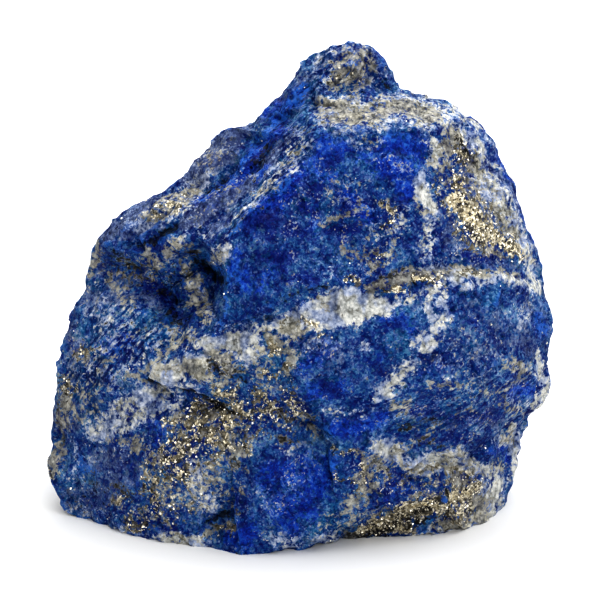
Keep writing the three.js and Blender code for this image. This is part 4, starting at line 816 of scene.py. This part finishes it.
def strongest(marks, right, up, soft):
    """How strongly the marks cover each point of the drawing, with edges that fade over `soft` mm."""
    cover = np.zeros(len(right))
    for strength, *stroke in marks:
        for (x0, y0, w0), (x1, y1, w1) in zip(stroke, stroke[1:]):
            along = ((right - x0) * (x1 - x0) + (up - y0) * (y1 - y0)) / ((x1 - x0) ** 2 + (y1 - y0) ** 2)
            along = along.clip(0, 1)
            off = np.hypot(right - x0 - along * (x1 - x0), up - y0 - along * (y1 - y0))
            half = w0 + along * (w1 - w0)
            inside = (0.5 + (half - off) / np.minimum(soft, 0.5 + 1.4 * half)).clip(0, 1)
            cover = np.maximum(cover, strength * inside)
    return cover


# ------------------------------------------------------------------------------------------------
# The broken surface
# ------------------------------------------------------------------------------------------------
SPLITS = 2
SOFTENED = 0.5  # takes the sharpness off the facets' edges
AROUND_TIMES, AROUND_SHARE = 12, 0.7  # how the surface is softened to find what stands out from it
EDGES_WANDER_MM = ((5.0, 0.5), (1.8, 0.45))  # over what length, and how far, the minerals' edges wander
FADE, FADE_FROM = 4, 0.3  # how the drawing fades out where the surface turns away from it


def cad_shell(node):
    """The corners and triangles of a CAD node, with corners at one place joined."""
    mesh = node.data
    corners = np.empty(3 * len(mesh.vertices))
    mesh.vertices.foreach_get("co", corners)
    mesh.calc_loop_triangles()
    triangles = np.empty(3 * len(mesh.loop_triangles), dtype=int)
    mesh.loop_triangles.foreach_get("vertices", triangles)
    joined, where = np.unique(corners.reshape(-1, 3).round(7), axis=0, return_inverse=True)
    return joined, where.reshape(-1)[triangles].reshape(-1, 3)


def split(points, faces):
    """Makes four triangles of each, through the middles of its edges."""
    edges = np.sort(np.concatenate([faces[:, [0, 1]], faces[:, [1, 2]], faces[:, [2, 0]]]), axis=1)
    edges, where = np.unique(edges, axis=0, return_inverse=True)
    ab, bc, ca = len(points) + where.reshape(3, -1)
    a, b, c = faces.T
    points = np.concatenate([points, points[edges].mean(axis=1)])
    corners = (a, ab, ca), (ab, b, bc), (ca, bc, c), (ab, bc, ca)
    return points, np.concatenate([np.stack(three, axis=1) for three in corners])


def normals_of(points, faces):
    """The direction that the surface faces at each point."""
    a, b, c = points[faces].transpose(1, 0, 2)
    across = np.cross(b - a, c - a)
    total = np.zeros_like(points)
    for k in range(3):
        np.add.at(total, faces[:, k], across)
    return total / np.linalg.norm(total, axis=1, keepdims=True)


def soften(points, faces, share):
    """Moves each point by that share of the way to the middle of its neighbours."""
    total, count = np.zeros_like(points), np.zeros(len(points))
    for k in range(3):
        for other in (faces[:, (k + 1) % 3], faces[:, (k + 2) % 3]):
            np.add.at(total, faces[:, k], points[other])
            np.add.at(count, faces[:, k], 1)
    return points + share * (total / count[:, None] - points)


def cloud(points_mm, size_mm, seed):
    """Soft noise about -1 to 1 whose blotches are about size_mm."""
    shift = Vector((seed * 17.3, seed * 5.1, seed * 9.7))
    return np.array([noise.fractal(Vector(p) / size_mm + shift, 0.8, 2.1, 3) for p in points_mm])


def chips(points_mm, size_mm, seed):
    """The flat chips of a broken surface: each has its own tilt, and rises and falls by about half of 1."""
    shift = Vector((seed * 3.7, seed * 11.9, seed * 7.3))
    height = []
    for p in points_mm:
        at = Vector(p) / size_mm + shift
        middle = noise.voronoi(at)[1][0]
        tilt = noise.cell_vector(middle * 91.7) * 2 - Vector((1, 1, 1))
        height.append((at - middle).dot(tilt))
    return np.array(height)


def beds(points_mm):
    """Noise about -1 to 1 in thin beds, square to BED_NORMAL, that changes slowly along BED_RUN."""
    height = []
    for p in map(Vector, points_mm):
        place = BED_NORMAL.dot(p) * BEDS_PER_MM, p.dot(BED_RUN) * CHANGES_PER_MM_OF_RUN, BED_SEED
        height.append(noise.noise(Vector(place)))
    return np.array(height)


points, faces = cad_shell(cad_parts["stone"])
for _ in range(SPLITS):
    points, faces = split(points, faces)
points = soften(points, faces, SOFTENED)
points_mm = points / MM
outward = normals_of(points, faces)
right, up, facing = drawn(points_mm, outward)
on_front = (facing * FADE + FADE_FROM).clip(0, 1)
behind = 1 - on_front
for size, reach in EDGES_WANDER_MM:
    right = right + reach * cloud(points_mm, size, 21 + size)
    up = up + reach * cloud(points_mm, size, 31 + size)

# How strong each mineral or other trait of the stone, and each painted shade or painted highlight, is at each
# point
traits = {name: strongest(marks, right, up, soft) * on_front for name, (marks, soft) in DRAWN.items()}
dust_everywhere = 0.2 + 0.2 * cloud(points_mm, 9, 11) - 0.12 * traits["cobalt"]
traits["dusty"] = np.maximum(dust_everywhere, traits["dusty"])

thinning = 0.35 - 1.3 * facing + 0.5 * cloud(points_mm, 11, 1)
thickness = np.where(right > 0, 1, thinning.clip(0, 1))  # on the left the sheets thin out towards the front
wave = SHEET_WAVE_MM * cloud(points_mm, SHEET_WAVE_LENGTH_MM, 2)
for facing_way, offset, half in VEIN_SHEETS_MM:
    off = np.abs(points_mm @ np.array(facing_way) - offset + wave)
    sheet = (0.5 + (half * thickness - off) / SHEET_EDGE_MM).clip(0, 1)
    traits["calcite"] = np.maximum(traits["calcite"], behind * sheet)
for name, size, seed, gain, start, most in BACK_BLOTCHES:
    blotches = (cloud(points_mm, size, seed) * gain + start).clip(0, most)
    traits[name] = np.maximum(traits[name], behind * blotches)

plates = traits.pop("plates")  # these shape the relief alone
chipped = sum(height * chips(points_mm, size, seed) for size, height, seed in CHIPS_MM)
lift = (
    (1 - CHIPS_LOST_ON_PLATES * plates) * chipped
    + ROUGHNESS_MM * cloud(points_mm, ROUGHNESS_SIZE_MM, 7)
    + BEDS_HEIGHT_MM * np.maximum(traits["beds_steep"], BEDS_ON_PLATES * plates) * beds(points_mm)
    + CALCITE_HEIGHT_MM * traits["calcite"] * (CALCITE_BETWEEN_LUMPS + cloud(points_mm, CALCITE_LUMPS_MM, 8))
)
for depth, *crack in CRACKS_MM:
    lift -= depth * on_front * strongest([(1.0, *crack)], right, up, CRACK_EDGE_MM)
for x, y, radius in KNOBS_MM:
    inside = (1 - ((right - x) ** 2 + (up - y) ** 2) / radius**2).clip(0, None)
    lift += on_front * KNOB_HEIGHT * radius * np.sqrt(inside)
points = points + outward * (lift * MM)[:, None]
points[:, 2] -= LOWER_EDGE_DROP_MM * MM * on_front * (1 - points_mm[:, 2] / LOWER_EDGE_UP_TO_MM).clip(0, 1)
points[:, 2] = points[:, 2].clip(0, None)

# How many mm each point stands out from its surroundings: above 0 the edges get a painted highlight, below 0
# the hollows get painted shade
around = points
for _ in range(AROUND_TIMES):
    around = soften(around, faces, AROUND_SHARE)
traits["stands_out"] = ((points - around) * outward).sum(axis=1) / MM

mesh = bpy.data.meshes.new("stone_surface")
mesh.from_pydata(points.tolist(), [], faces.tolist())
for name, values in traits.items():
    mesh.attributes.new(name, "FLOAT", "POINT").data.foreach_set("value", values.astype(np.float32))
surface = bpy.data.objects.new("stone_surface", mesh)
bpy.context.collection.objects.link(surface)


# ------------------------------------------------------------------------------------------------
# Materials
# ------------------------------------------------------------------------------------------------
# The colours of each mineral, as (place along its ramp, sRGB): from dark to pale, with some cream in the dust
COLOURS = {
    "lazurite": [
        (0.2, "#000f50"),
        (0.36, "#012066"),
        (0.48, "#0e3e7a"),
        (0.6, "#345f8e"),
        (0.74, "#698aa8"),
        (0.92, "#abb9c4"),
    ],
    "violet": [(0.2, "#0e1350"), (0.42, "#222d6e"), (0.58, "#43518e"), (0.75, "#727eaa"), (0.92, "#b0b5c8")],
    "teal": [(0.2, "#00204e"), (0.42, "#003a6a"), (0.58, "#1a5c88"), (0.75, "#5086aa"), (0.92, "#98b6c4")],
    "cobalt": [(0.2, "#00105e"), (0.38, "#03247e"), (0.54, "#0e409e"), (0.7, "#3664b4"), (0.92, "#8ca4cc")],
    "navy": [(0.2, "#000840"), (0.4, "#000f56"), (0.58, "#04226e"), (0.75, "#1b4088"), (0.92, "#6682aa")],
    "slate": [(0.2, "#20274a"), (0.38, "#3b476e"), (0.54, "#5a678a"), (0.7, "#808aa4"), (0.92, "#b0b6c4")],
    "dust": [(0.0, "#5e78a8"), (0.45, "#8494b2"), (0.7, "#a8b0bc"), (0.82, "#9c937e"), (1.0, "#d0ccc0")],
    "lilac": [(0.15, "#2a385c"), (0.35, "#526286"), (0.5, "#7684a4"), (0.7, "#9ea8c0"), (0.95, "#ced2dc")],
    "white": [(0.12, "#3a3a38"), (0.28, "#6c6c67"), (0.44, "#989a97"), (0.6, "#bcbdba"), (0.9, "#e6e4dc")],
    "khaki": [(0.15, "#2e2d27"), (0.4, "#646256"), (0.62, "#969285"), (0.92, "#c6c2b0")],
    "crust": [(0.2, "#0a0a0b"), (0.45, "#2a2720"), (0.65, "#58513f"), (0.9, "#9a9078")],
    "brass": [(0.0, "#867d64"), (0.4, "#bbb196"), (0.75, "#eae2cd"), (1.0, "#fffbf2")],
}
PALE_SPECKS = "#7288b2"
# The pale blue of painted highlights, the painted shade of sunk hollows and the near-black painted shade of
# drawn hollows, cracks and undercuts
PAINTED_HIGHLIGHT_BLUE = "#2e68b6"
SHADED = "#020616"
PAINTED_SHADE_BLACK = "#02040c"
PYRITE_FACES = "#e8e2d2"
PAPER = "#e0e0e0"


def colour(code):
    """An sRGB hex value as linear red, green, blue and alpha."""
    parts = [int(code[i : i + 2], 16) / 255 for i in (1, 3, 5)]
    return *[p / 12.92 if p <= 0.04045 else ((p + 0.055) / 1.055) ** 2.4 for p in parts], 1.0


def add(tree, kind, *inputs, into=None, stops=(), **settings):
    """Adds a node with its settings and gives its outputs. Sockets or plain values go to its inputs in their
    order, or in `into` by their names or numbers. `stops` are the (place, sRGB) along a colour ramp."""
    made = tree.nodes.new("ShaderNode" + kind)
    for name, value in settings.items():
        setattr(made, name, value)
    for key, value in (dict(enumerate(inputs)) | (into or {})).items():
        if isinstance(value, bpy.types.NodeSocket):
            tree.links.new(value, made.inputs[key])
        else:
            made.inputs[key].default_value = value
    line = made.color_ramp.elements if stops else ()
    while len(line) < len(stops):
        line.new(0.5)
    for element, (place, code) in zip(line, stops):
        element.position, element.color = place, colour(code)
    return made.outputs


def new_material(name):
    """A material, its node tree and its shader."""
    material = bpy.data.materials.new(name)
    material.use_nodes = True
    return material, material.node_tree, material.node_tree.nodes["Principled BSDF"]


# Sizes in the rock
GRAINS_MM = (0.95, 0.45, 0.22)  # coarse, medium and fine
FRONT_TO_BACK = 0.75  # the noise runs slower that way, so the grains are a third longer
BENT_MM, BENT_EVERY_MM = 0.3, 0.7  # how the borders of the grains bend
PATCHES_MM, SPECKLE_MM = 4.2, 0.8
GREEN_CLOUDS_MM, LILAC_CLOUDS_MM = 6.0, 2.4
STREAKS_MM, STREAKS_DRAWN_OUT = 0.5, 0.9  # with about 1 they would run along the beds without end
STEEP_BEDS, FLAT_BEDS = (0.62, -0.1, 0.76), (0.9, 0.2, 0.38)  # which way the beds run
GRAIN_RELIEF_MM = 0.4


def broken_lapis():
    """The whole stone as it broke: a rock of lazurite with calcite veins, diopside, slaty beds and grains of
    pyrite. Each mineral gives mottled patches of its own colours, with ragged edges. Painted shade darkens
    the hollows, cracks and undercuts, and painted highlights lighten the edges that stand out. The matt
    grains catch the light at their own angles, and only the pyrite shines."""
    material, tree, skin = new_material("lapis_lazuli_broken")
    node = partial(add, tree)

    def total(*parts):
        """The sum of values, each with its weight."""
        value = 0.0
        for part, weight in parts:
            value = node("Math", part, weight, value, operation="MULTIPLY_ADD")[0]
        return value

    to_mm = (1 / MM, FRONT_TO_BACK / MM, 1 / MM)
    spot = node("VectorMath", node("TexCoord")["Object"], to_mm, operation="MULTIPLY")[0]
    waves = node("TexNoise", into={"Vector": spot, "Scale": 1 / BENT_EVERY_MM, "Detail": 2.0})["Color"]
    bend = node("VectorMath", waves, into={"Scale": BENT_MM}, operation="SCALE")[0]
    bent = node("VectorMath", spot, bend, operation="ADD")[0]

    def grains(size_mm):
        """Grains of about that size: three numbers of each one's own, the same as a vector, and how far a
        point is from its grain's middle."""
        cells = node("TexVoronoi", into={"Vector": bent, "Scale": 1 / size_mm})
        return node("SeparateColor", cells["Color"]), cells["Color"], cells["Distance"]

    coarse, coarse_turn, coarse_off = grains(GRAINS_MM[0])
    medium, medium_turn, medium_off = grains(GRAINS_MM[1])
    fine, fine_turn, _ = grains(GRAINS_MM[2])
    patches, speckle, green_clouds, lilac_clouds = (
        node("TexNoise", into={"Vector": spot, "Scale": 1 / size_mm, "Detail": detail})[0]
        for size_mm, detail in (
            (PATCHES_MM, 3.0),
            (SPECKLE_MM, 5.0),
            (GREEN_CLOUDS_MM, 3.0),
            (LILAC_CLOUDS_MM, 2.0),
        )
    )
    strength = {name: node("Attribute", attribute_name=name)["Fac"] for name in traits}

    def streaks(run, name):
        """Streaks along the run of the beds, where the stone is bedded that way."""
        along = node("VectorMath", spot, run, operation="DOT_PRODUCT")["Value"]
        back = node("Math", along, -STREAKS_DRAWN_OUT, operation="MULTIPLY")[0]
        shift = node("VectorMath", run, into={"Scale": back}, operation="SCALE")[0]
        place = node("VectorMath", spot, shift, operation="ADD")[0]
        streaky = node("TexNoise", into={"Vector": place, "Scale": 1 / STREAKS_MM, "Detail": 4.0})[0]
        streaky = node("Math", streaky, 0.5, operation="SUBTRACT")[0]
        return node("Math", streaky, strength[name], operation="MULTIPLY")[0]

    bedding = total((streaks(STEEP_BEDS, "beds_steep"), 1.0), (streaks(FLAT_BEDS, "beds_flat"), 1.0))
    coarse_0, medium_0, fine_0, speckle_0, patches_0 = (
        node("Math", value, 0.5, operation="SUBTRACT")[0]  # about 0 in place of 0.5
        for value in (coarse[0], medium[0], fine[0], speckle, patches)
    )
    ragged = total(
        (coarse_0, 0.3),
        (medium_0, 0.4),
        (fine_0, 0.3),
        (speckle_0, 0.9),
        (patches_0, 0.35),
        (bedding, 2.6),
    )

    def mineral_or_painted_light(name, threshold, blur):
        """Where a mineral, a painted shade or a painted highlight is, with the ragged edge that the grains
        give it. A strength of 1 covers nearly all of a place."""
        value = node("Math", strength[name], ragged, operation="ADD")[0]
        return node("MapRange", value, threshold - blur, threshold + blur, interpolation_type="SMOOTHSTEP")[0]

    # How pale each spot of the blue grains, of the sugary crystals and of the brassy pyrite is
    shade = total(
        (patches, 0.6),
        (coarse[0], 0.12),
        (medium[1], 0.16),
        (fine[1], 0.22),
        (speckle_0, 0.5),
        (bedding, 1.3),
        (1.0, -0.045),
    )
    sugar = total(
        (coarse_off, -0.35),
        (medium_off, -0.22),
        (medium[1], 0.18),
        (speckle_0, 0.8),
        (fine[1], 0.16),
        (patches, 0.5),
        (0.44, 1.0),
    )
    gleam = total((fine[0], 0.45), (medium[0], 0.55))
    blues = dict.fromkeys(("lazurite", "teal", "violet", "slate", "cobalt", "navy"), shade)
    pales = dict.fromkeys(("lilac", "white", "khaki", "crust"), sugar)
    along = blues | pales | {"dust": fine[2], "brass": gleam}
    paint = {name: node("ValToRGB", value, stops=COLOURS[name])[0] for name, value in along.items()}

    # What else comes in, and where: the value that each goes by, and between which two values it does
    rules = {
        "green": (total((green_clouds, 1.0), (strength["beds_steep"], 0.1)), 0.52, 0.68),
        "violet": (medium[2], 0.6, 0.9),
        "specks": (fine[0], 0.9, 0.94),
        # painted highlight on edges that stand out from their surroundings
        "painted_highlit_edges": (total((strength["stands_out"], 1.0), (ragged, 0.25)), 0.22, 0.42),
        "dusted": (total((strength["dusty"], 1.0), (ragged, 0.85), (fine_0, 0.55)), 0.62, 0.76),
        "lilac": (lilac_clouds, 0.46, 0.6),
        "whole grains": (
            total((coarse[1], 0.5), (medium[1], 0.5), (fine[2], 0.6), (strength["pyrite"], 0.35)),
            1.1,
            1.2,
        ),
        # painted shade in hollows that sink below their surroundings
        "shaded": (node("Math", strength["stands_out"], -1.0, operation="MULTIPLY")[0], 0.12, 0.5),
    }
    at = {
        name: node("MapRange", value, low, high, interpolation_type="SMOOTHSTEP")[0]
        for name, (value, low, high) in rules.items()
    }
    lilac_share = node("Math", at["lilac"], 0.85, operation="MULTIPLY")[0]
    milky = node("Mix", lilac_share, into={6: paint["white"], 7: paint["lilac"]}, data_type="RGBA")[2]
    brass = node("Math", mineral_or_painted_light("pyrite", 0.58, 0.04), at["whole grains"], operation="MULTIPLY")[0]

    # From the lazurite up: where each colour lies, how much it hides of what is below, and the colour
    layers = [
        (at["green"], 0.6, paint["teal"]),
        (at["violet"], 0.45, paint["violet"]),
        (mineral_or_painted_light("slate", 0.6, 0.2), 0.85, paint["slate"]),
        (at["specks"], 0.4, colour(PALE_SPECKS)),
        (mineral_or_painted_light("cobalt", 0.6, 0.25), 1.0, paint["cobalt"]),
        (mineral_or_painted_light("navy", 0.6, 0.2), 1.0, paint["navy"]),
        # painted highlight: edges that stand out, and the drawn edge marks, are painted a pale blue; dust
        # lies between the blue grains
        (at["painted_highlit_edges"], 0.4, colour(PAINTED_HIGHLIGHT_BLUE)),
        (mineral_or_painted_light("painted_edge_highlights", 0.5, 0.12), 0.7, colour(PAINTED_HIGHLIGHT_BLUE)),
        (at["dusted"], 0.7, paint["dust"]),
        # calcite is sugary, white in the middle and lilac-grey at its edges; diopside is a grey green-brown
        (mineral_or_painted_light("calcite", 0.48, 0.08), 0.75, paint["lilac"]),
        (mineral_or_painted_light("calcite", 0.66, 0.07), 1.0, milky),
        (mineral_or_painted_light("diopside", 0.56, 0.1), 0.8, paint["khaki"]),
        # pyrite is brassy grains in a brown crust
        (mineral_or_painted_light("pyrite", 0.6, 0.1), 0.85, paint["crust"]),
        (brass, 1.0, paint["brass"]),
        # painted shade: hollows that sink below their surroundings are darkened, and the drawn hollows,
        # cracks and undercuts are nearly blackened
        (at["shaded"], 0.4, colour(SHADED)),
        (mineral_or_painted_light("painted_shade", 0.55, 0.2), 0.9, colour(PAINTED_SHADE_BLACK)),
    ]
    base = paint["lazurite"]
    for where, hides, above in layers:
        share = node("Math", where, hides, operation="MULTIPLY")[0]
        base = node("Mix", share, into={6: base, 7: above}, data_type="RGBA")[2]

    # Every grain broke at its own angle
    turned = node("NewGeometry")["Normal"]
    for turn, lean in ((coarse_turn, 0.5), (medium_turn, 0.8), (fine_turn, 0.5)):
        turn = node("VectorMath", turn, (0.5, 0.5, 0.5), operation="SUBTRACT")[0]
        turn = node("VectorMath", turn, into={"Scale": lean}, operation="SCALE")[0]
        turned = node("VectorMath", turned, turn, operation="ADD")[0]
    turned = node("VectorMath", turned, operation="NORMALIZE")[0]
    height = total((coarse_off, -0.4), (medium_off, -0.25), (speckle, 0.5))
    relief = {"Strength": 0.7, "Distance": GRAIN_RELIEF_MM * MM, "Height": height, "Normal": turned}

    roughness = total((1.0, 0.5), (coarse[1], 0.25), (brass, -0.28))
    tree.links.new(base, skin.inputs["Base Color"])
    tree.links.new(brass, skin.inputs["Metallic"])
    tree.links.new(roughness, skin.inputs["Roughness"])
    tree.links.new(node("Bump", into=relief)[0], skin.inputs["Normal"])
    skin.inputs["IOR"].default_value = 1.5  # lazurite
    skin.inputs["Specular IOR Level"].default_value = 0.15  # broken grains shade most of one another's shine
    return material


def brassy_pyrite():
    """Clean faces of pyrite crystals: a pale brass metal, smooth enough to glitter."""
    material, _, skin = new_material("pyrite_crystal_faces")
    skin.inputs["Metallic"].default_value = 1.0
    skin.inputs["Roughness"].default_value = 0.28
    skin.inputs["Base Color"].default_value = colour(PYRITE_FACES)
    return material


def white_paper():
    """Matt white paper, under the stone."""
    material, _, skin = new_material("white_paper")
    skin.inputs["Roughness"].default_value = 0.9
    skin.inputs["Base Color"].default_value = colour(PAPER)
    return material


mesh.materials.append(broken_lapis())

# ------------------------------------------------------------------------------------------------
# Loose pyrite: small crystals half sunk into the surface
# ------------------------------------------------------------------------------------------------
CRYSTALS = 3500
CRYSTAL_HALF_MM = (0.07, 0.24)
MOSTLY_SMALL = 2.2  # the power that makes small ones the most common
STRETCHED = (0.6, 1.3)  # how far out each of a crystal's six corners is
# They gather where the pyrite is stronger than this, the more so with a higher power, and a few are anywhere
STRONGER_THAN, GATHERED, ANYWHERE = 0.3, 1.3, 0.003
EIGHT_SIDED = np.array([(1, 0, 0), (-1, 0, 0), (0, 1, 0), (0, -1, 0), (0, 0, 1), (0, 0, -1)], float)
SIDES = np.array([(0, 2, 4), (2, 1, 4), (1, 3, 4), (3, 0, 4), (2, 0, 5), (1, 2, 5), (3, 1, 5), (0, 3, 5)])

rng = np.random.default_rng(7)
corner = points[faces]
area = np.linalg.norm(np.cross(corner[:, 1] - corner[:, 0], corner[:, 2] - corner[:, 0]), axis=1) / 2
density = (traits["pyrite"][faces].mean(axis=1) - STRONGER_THAN).clip(0, None) ** GATHERED + ANYWHERE
chance = area * density
picked = rng.choice(len(faces), CRYSTALS, p=chance / chance.sum())
share = rng.dirichlet((1, 1, 1), CRYSTALS)
seats = (corner[picked] * share[:, :, None]).sum(axis=1)
least, most = CRYSTAL_HALF_MM
sizes = rng.uniform(0, 1, CRYSTALS) ** MOSTLY_SMALL * (most - least) + least
turns, _ = np.linalg.qr(rng.normal(size=(CRYSTALS, 3, 3)))
turns *= np.sign(np.linalg.det(turns))[:, None, None]
stretch = rng.uniform(*STRETCHED, (CRYSTALS, 6, 1))
crystal_points = seats[:, None] + (EIGHT_SIDED * stretch) @ turns * (sizes * MM)[:, None, None]
crystal_points[:, :, 2] = crystal_points[:, :, 2].clip(0, None)
crystal_faces = SIDES[None] + 6 * np.arange(CRYSTALS)[:, None, None]
crystals_mesh = bpy.data.meshes.new("pyrite_crystals")
crystals_mesh.from_pydata(crystal_points.reshape(-1, 3).tolist(), [], crystal_faces.reshape(-1, 3).tolist())
crystals_mesh.materials.append(brassy_pyrite())
crystals = bpy.data.objects.new("pyrite_crystals", crystals_mesh)
bpy.context.collection.objects.link(crystals)

for piece in (surface, crystals):
    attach(piece, "root")
    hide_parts("stone")

# ------------------------------------------------------------------------------------------------
# Floor, light and camera
# ------------------------------------------------------------------------------------------------
FLOOR_REACH = 4
LAMPS_FACE = Vector((0, 0, 0.03))
STUDIO_GLOW = 0.12

floor_mesh = bpy.data.meshes.new("floor")
floor_corners = [(x * FLOOR_REACH, y * FLOOR_REACH, 0) for x, y in ((-1, -1), (1, -1), (1, 1), (-1, 1))]
floor_mesh.from_pydata(floor_corners, [], [(0, 1, 2, 3)])
floor_mesh.materials.append(white_paper())
floor = bpy.data.objects.new("floor", floor_mesh)
bpy.context.collection.objects.link(floor)


def soft_box(name, place, side, power):
    """A square lamp that faces the stone."""
    light = bpy.data.lights.new(name, "AREA")
    light.size, light.energy = side, power
    lamp = bpy.data.objects.new(name, light)
    lamp.location = place
    lamp.rotation_euler = (LAMPS_FACE - Vector(place)).to_track_quat("-Z", "Y").to_euler()
    bpy.context.collection.objects.link(lamp)


soft_box("top_light", (0.14, 0.26, 0.65), 1.3, 13.2)
soft_box("front_light", (0.08, -0.72, 0.36), 0.60, 3.4)

world = bpy.data.worlds.new("studio")
world.use_nodes = True
background = world.node_tree.nodes["Background"]
background.inputs["Color"].default_value = (1, 1, 1, 1)
background.inputs["Strength"].default_value = STUDIO_GLOW
scene = bpy.context.scene
scene.world = world
scene.view_settings.view_transform = "Standard"
scene.view_settings.look = "High Contrast"

camera_data = bpy.data.cameras.new("camera")
camera_data.sensor_width = 36
camera_data.lens = camera_data.sensor_width * DRAWN_AWAY_MM / PICTURE_WIDTH_MM
camera_data.clip_end = 20
camera = bpy.data.objects.new("camera", camera_data)
camera.location = (LOOKED_AT_MM - AWAY_MM * AHEAD) * MM
camera.rotation_euler = Vector(AHEAD).to_track_quat("-Z", "Y").to_euler()
bpy.context.collection.objects.link(camera)
scene.camera = camera
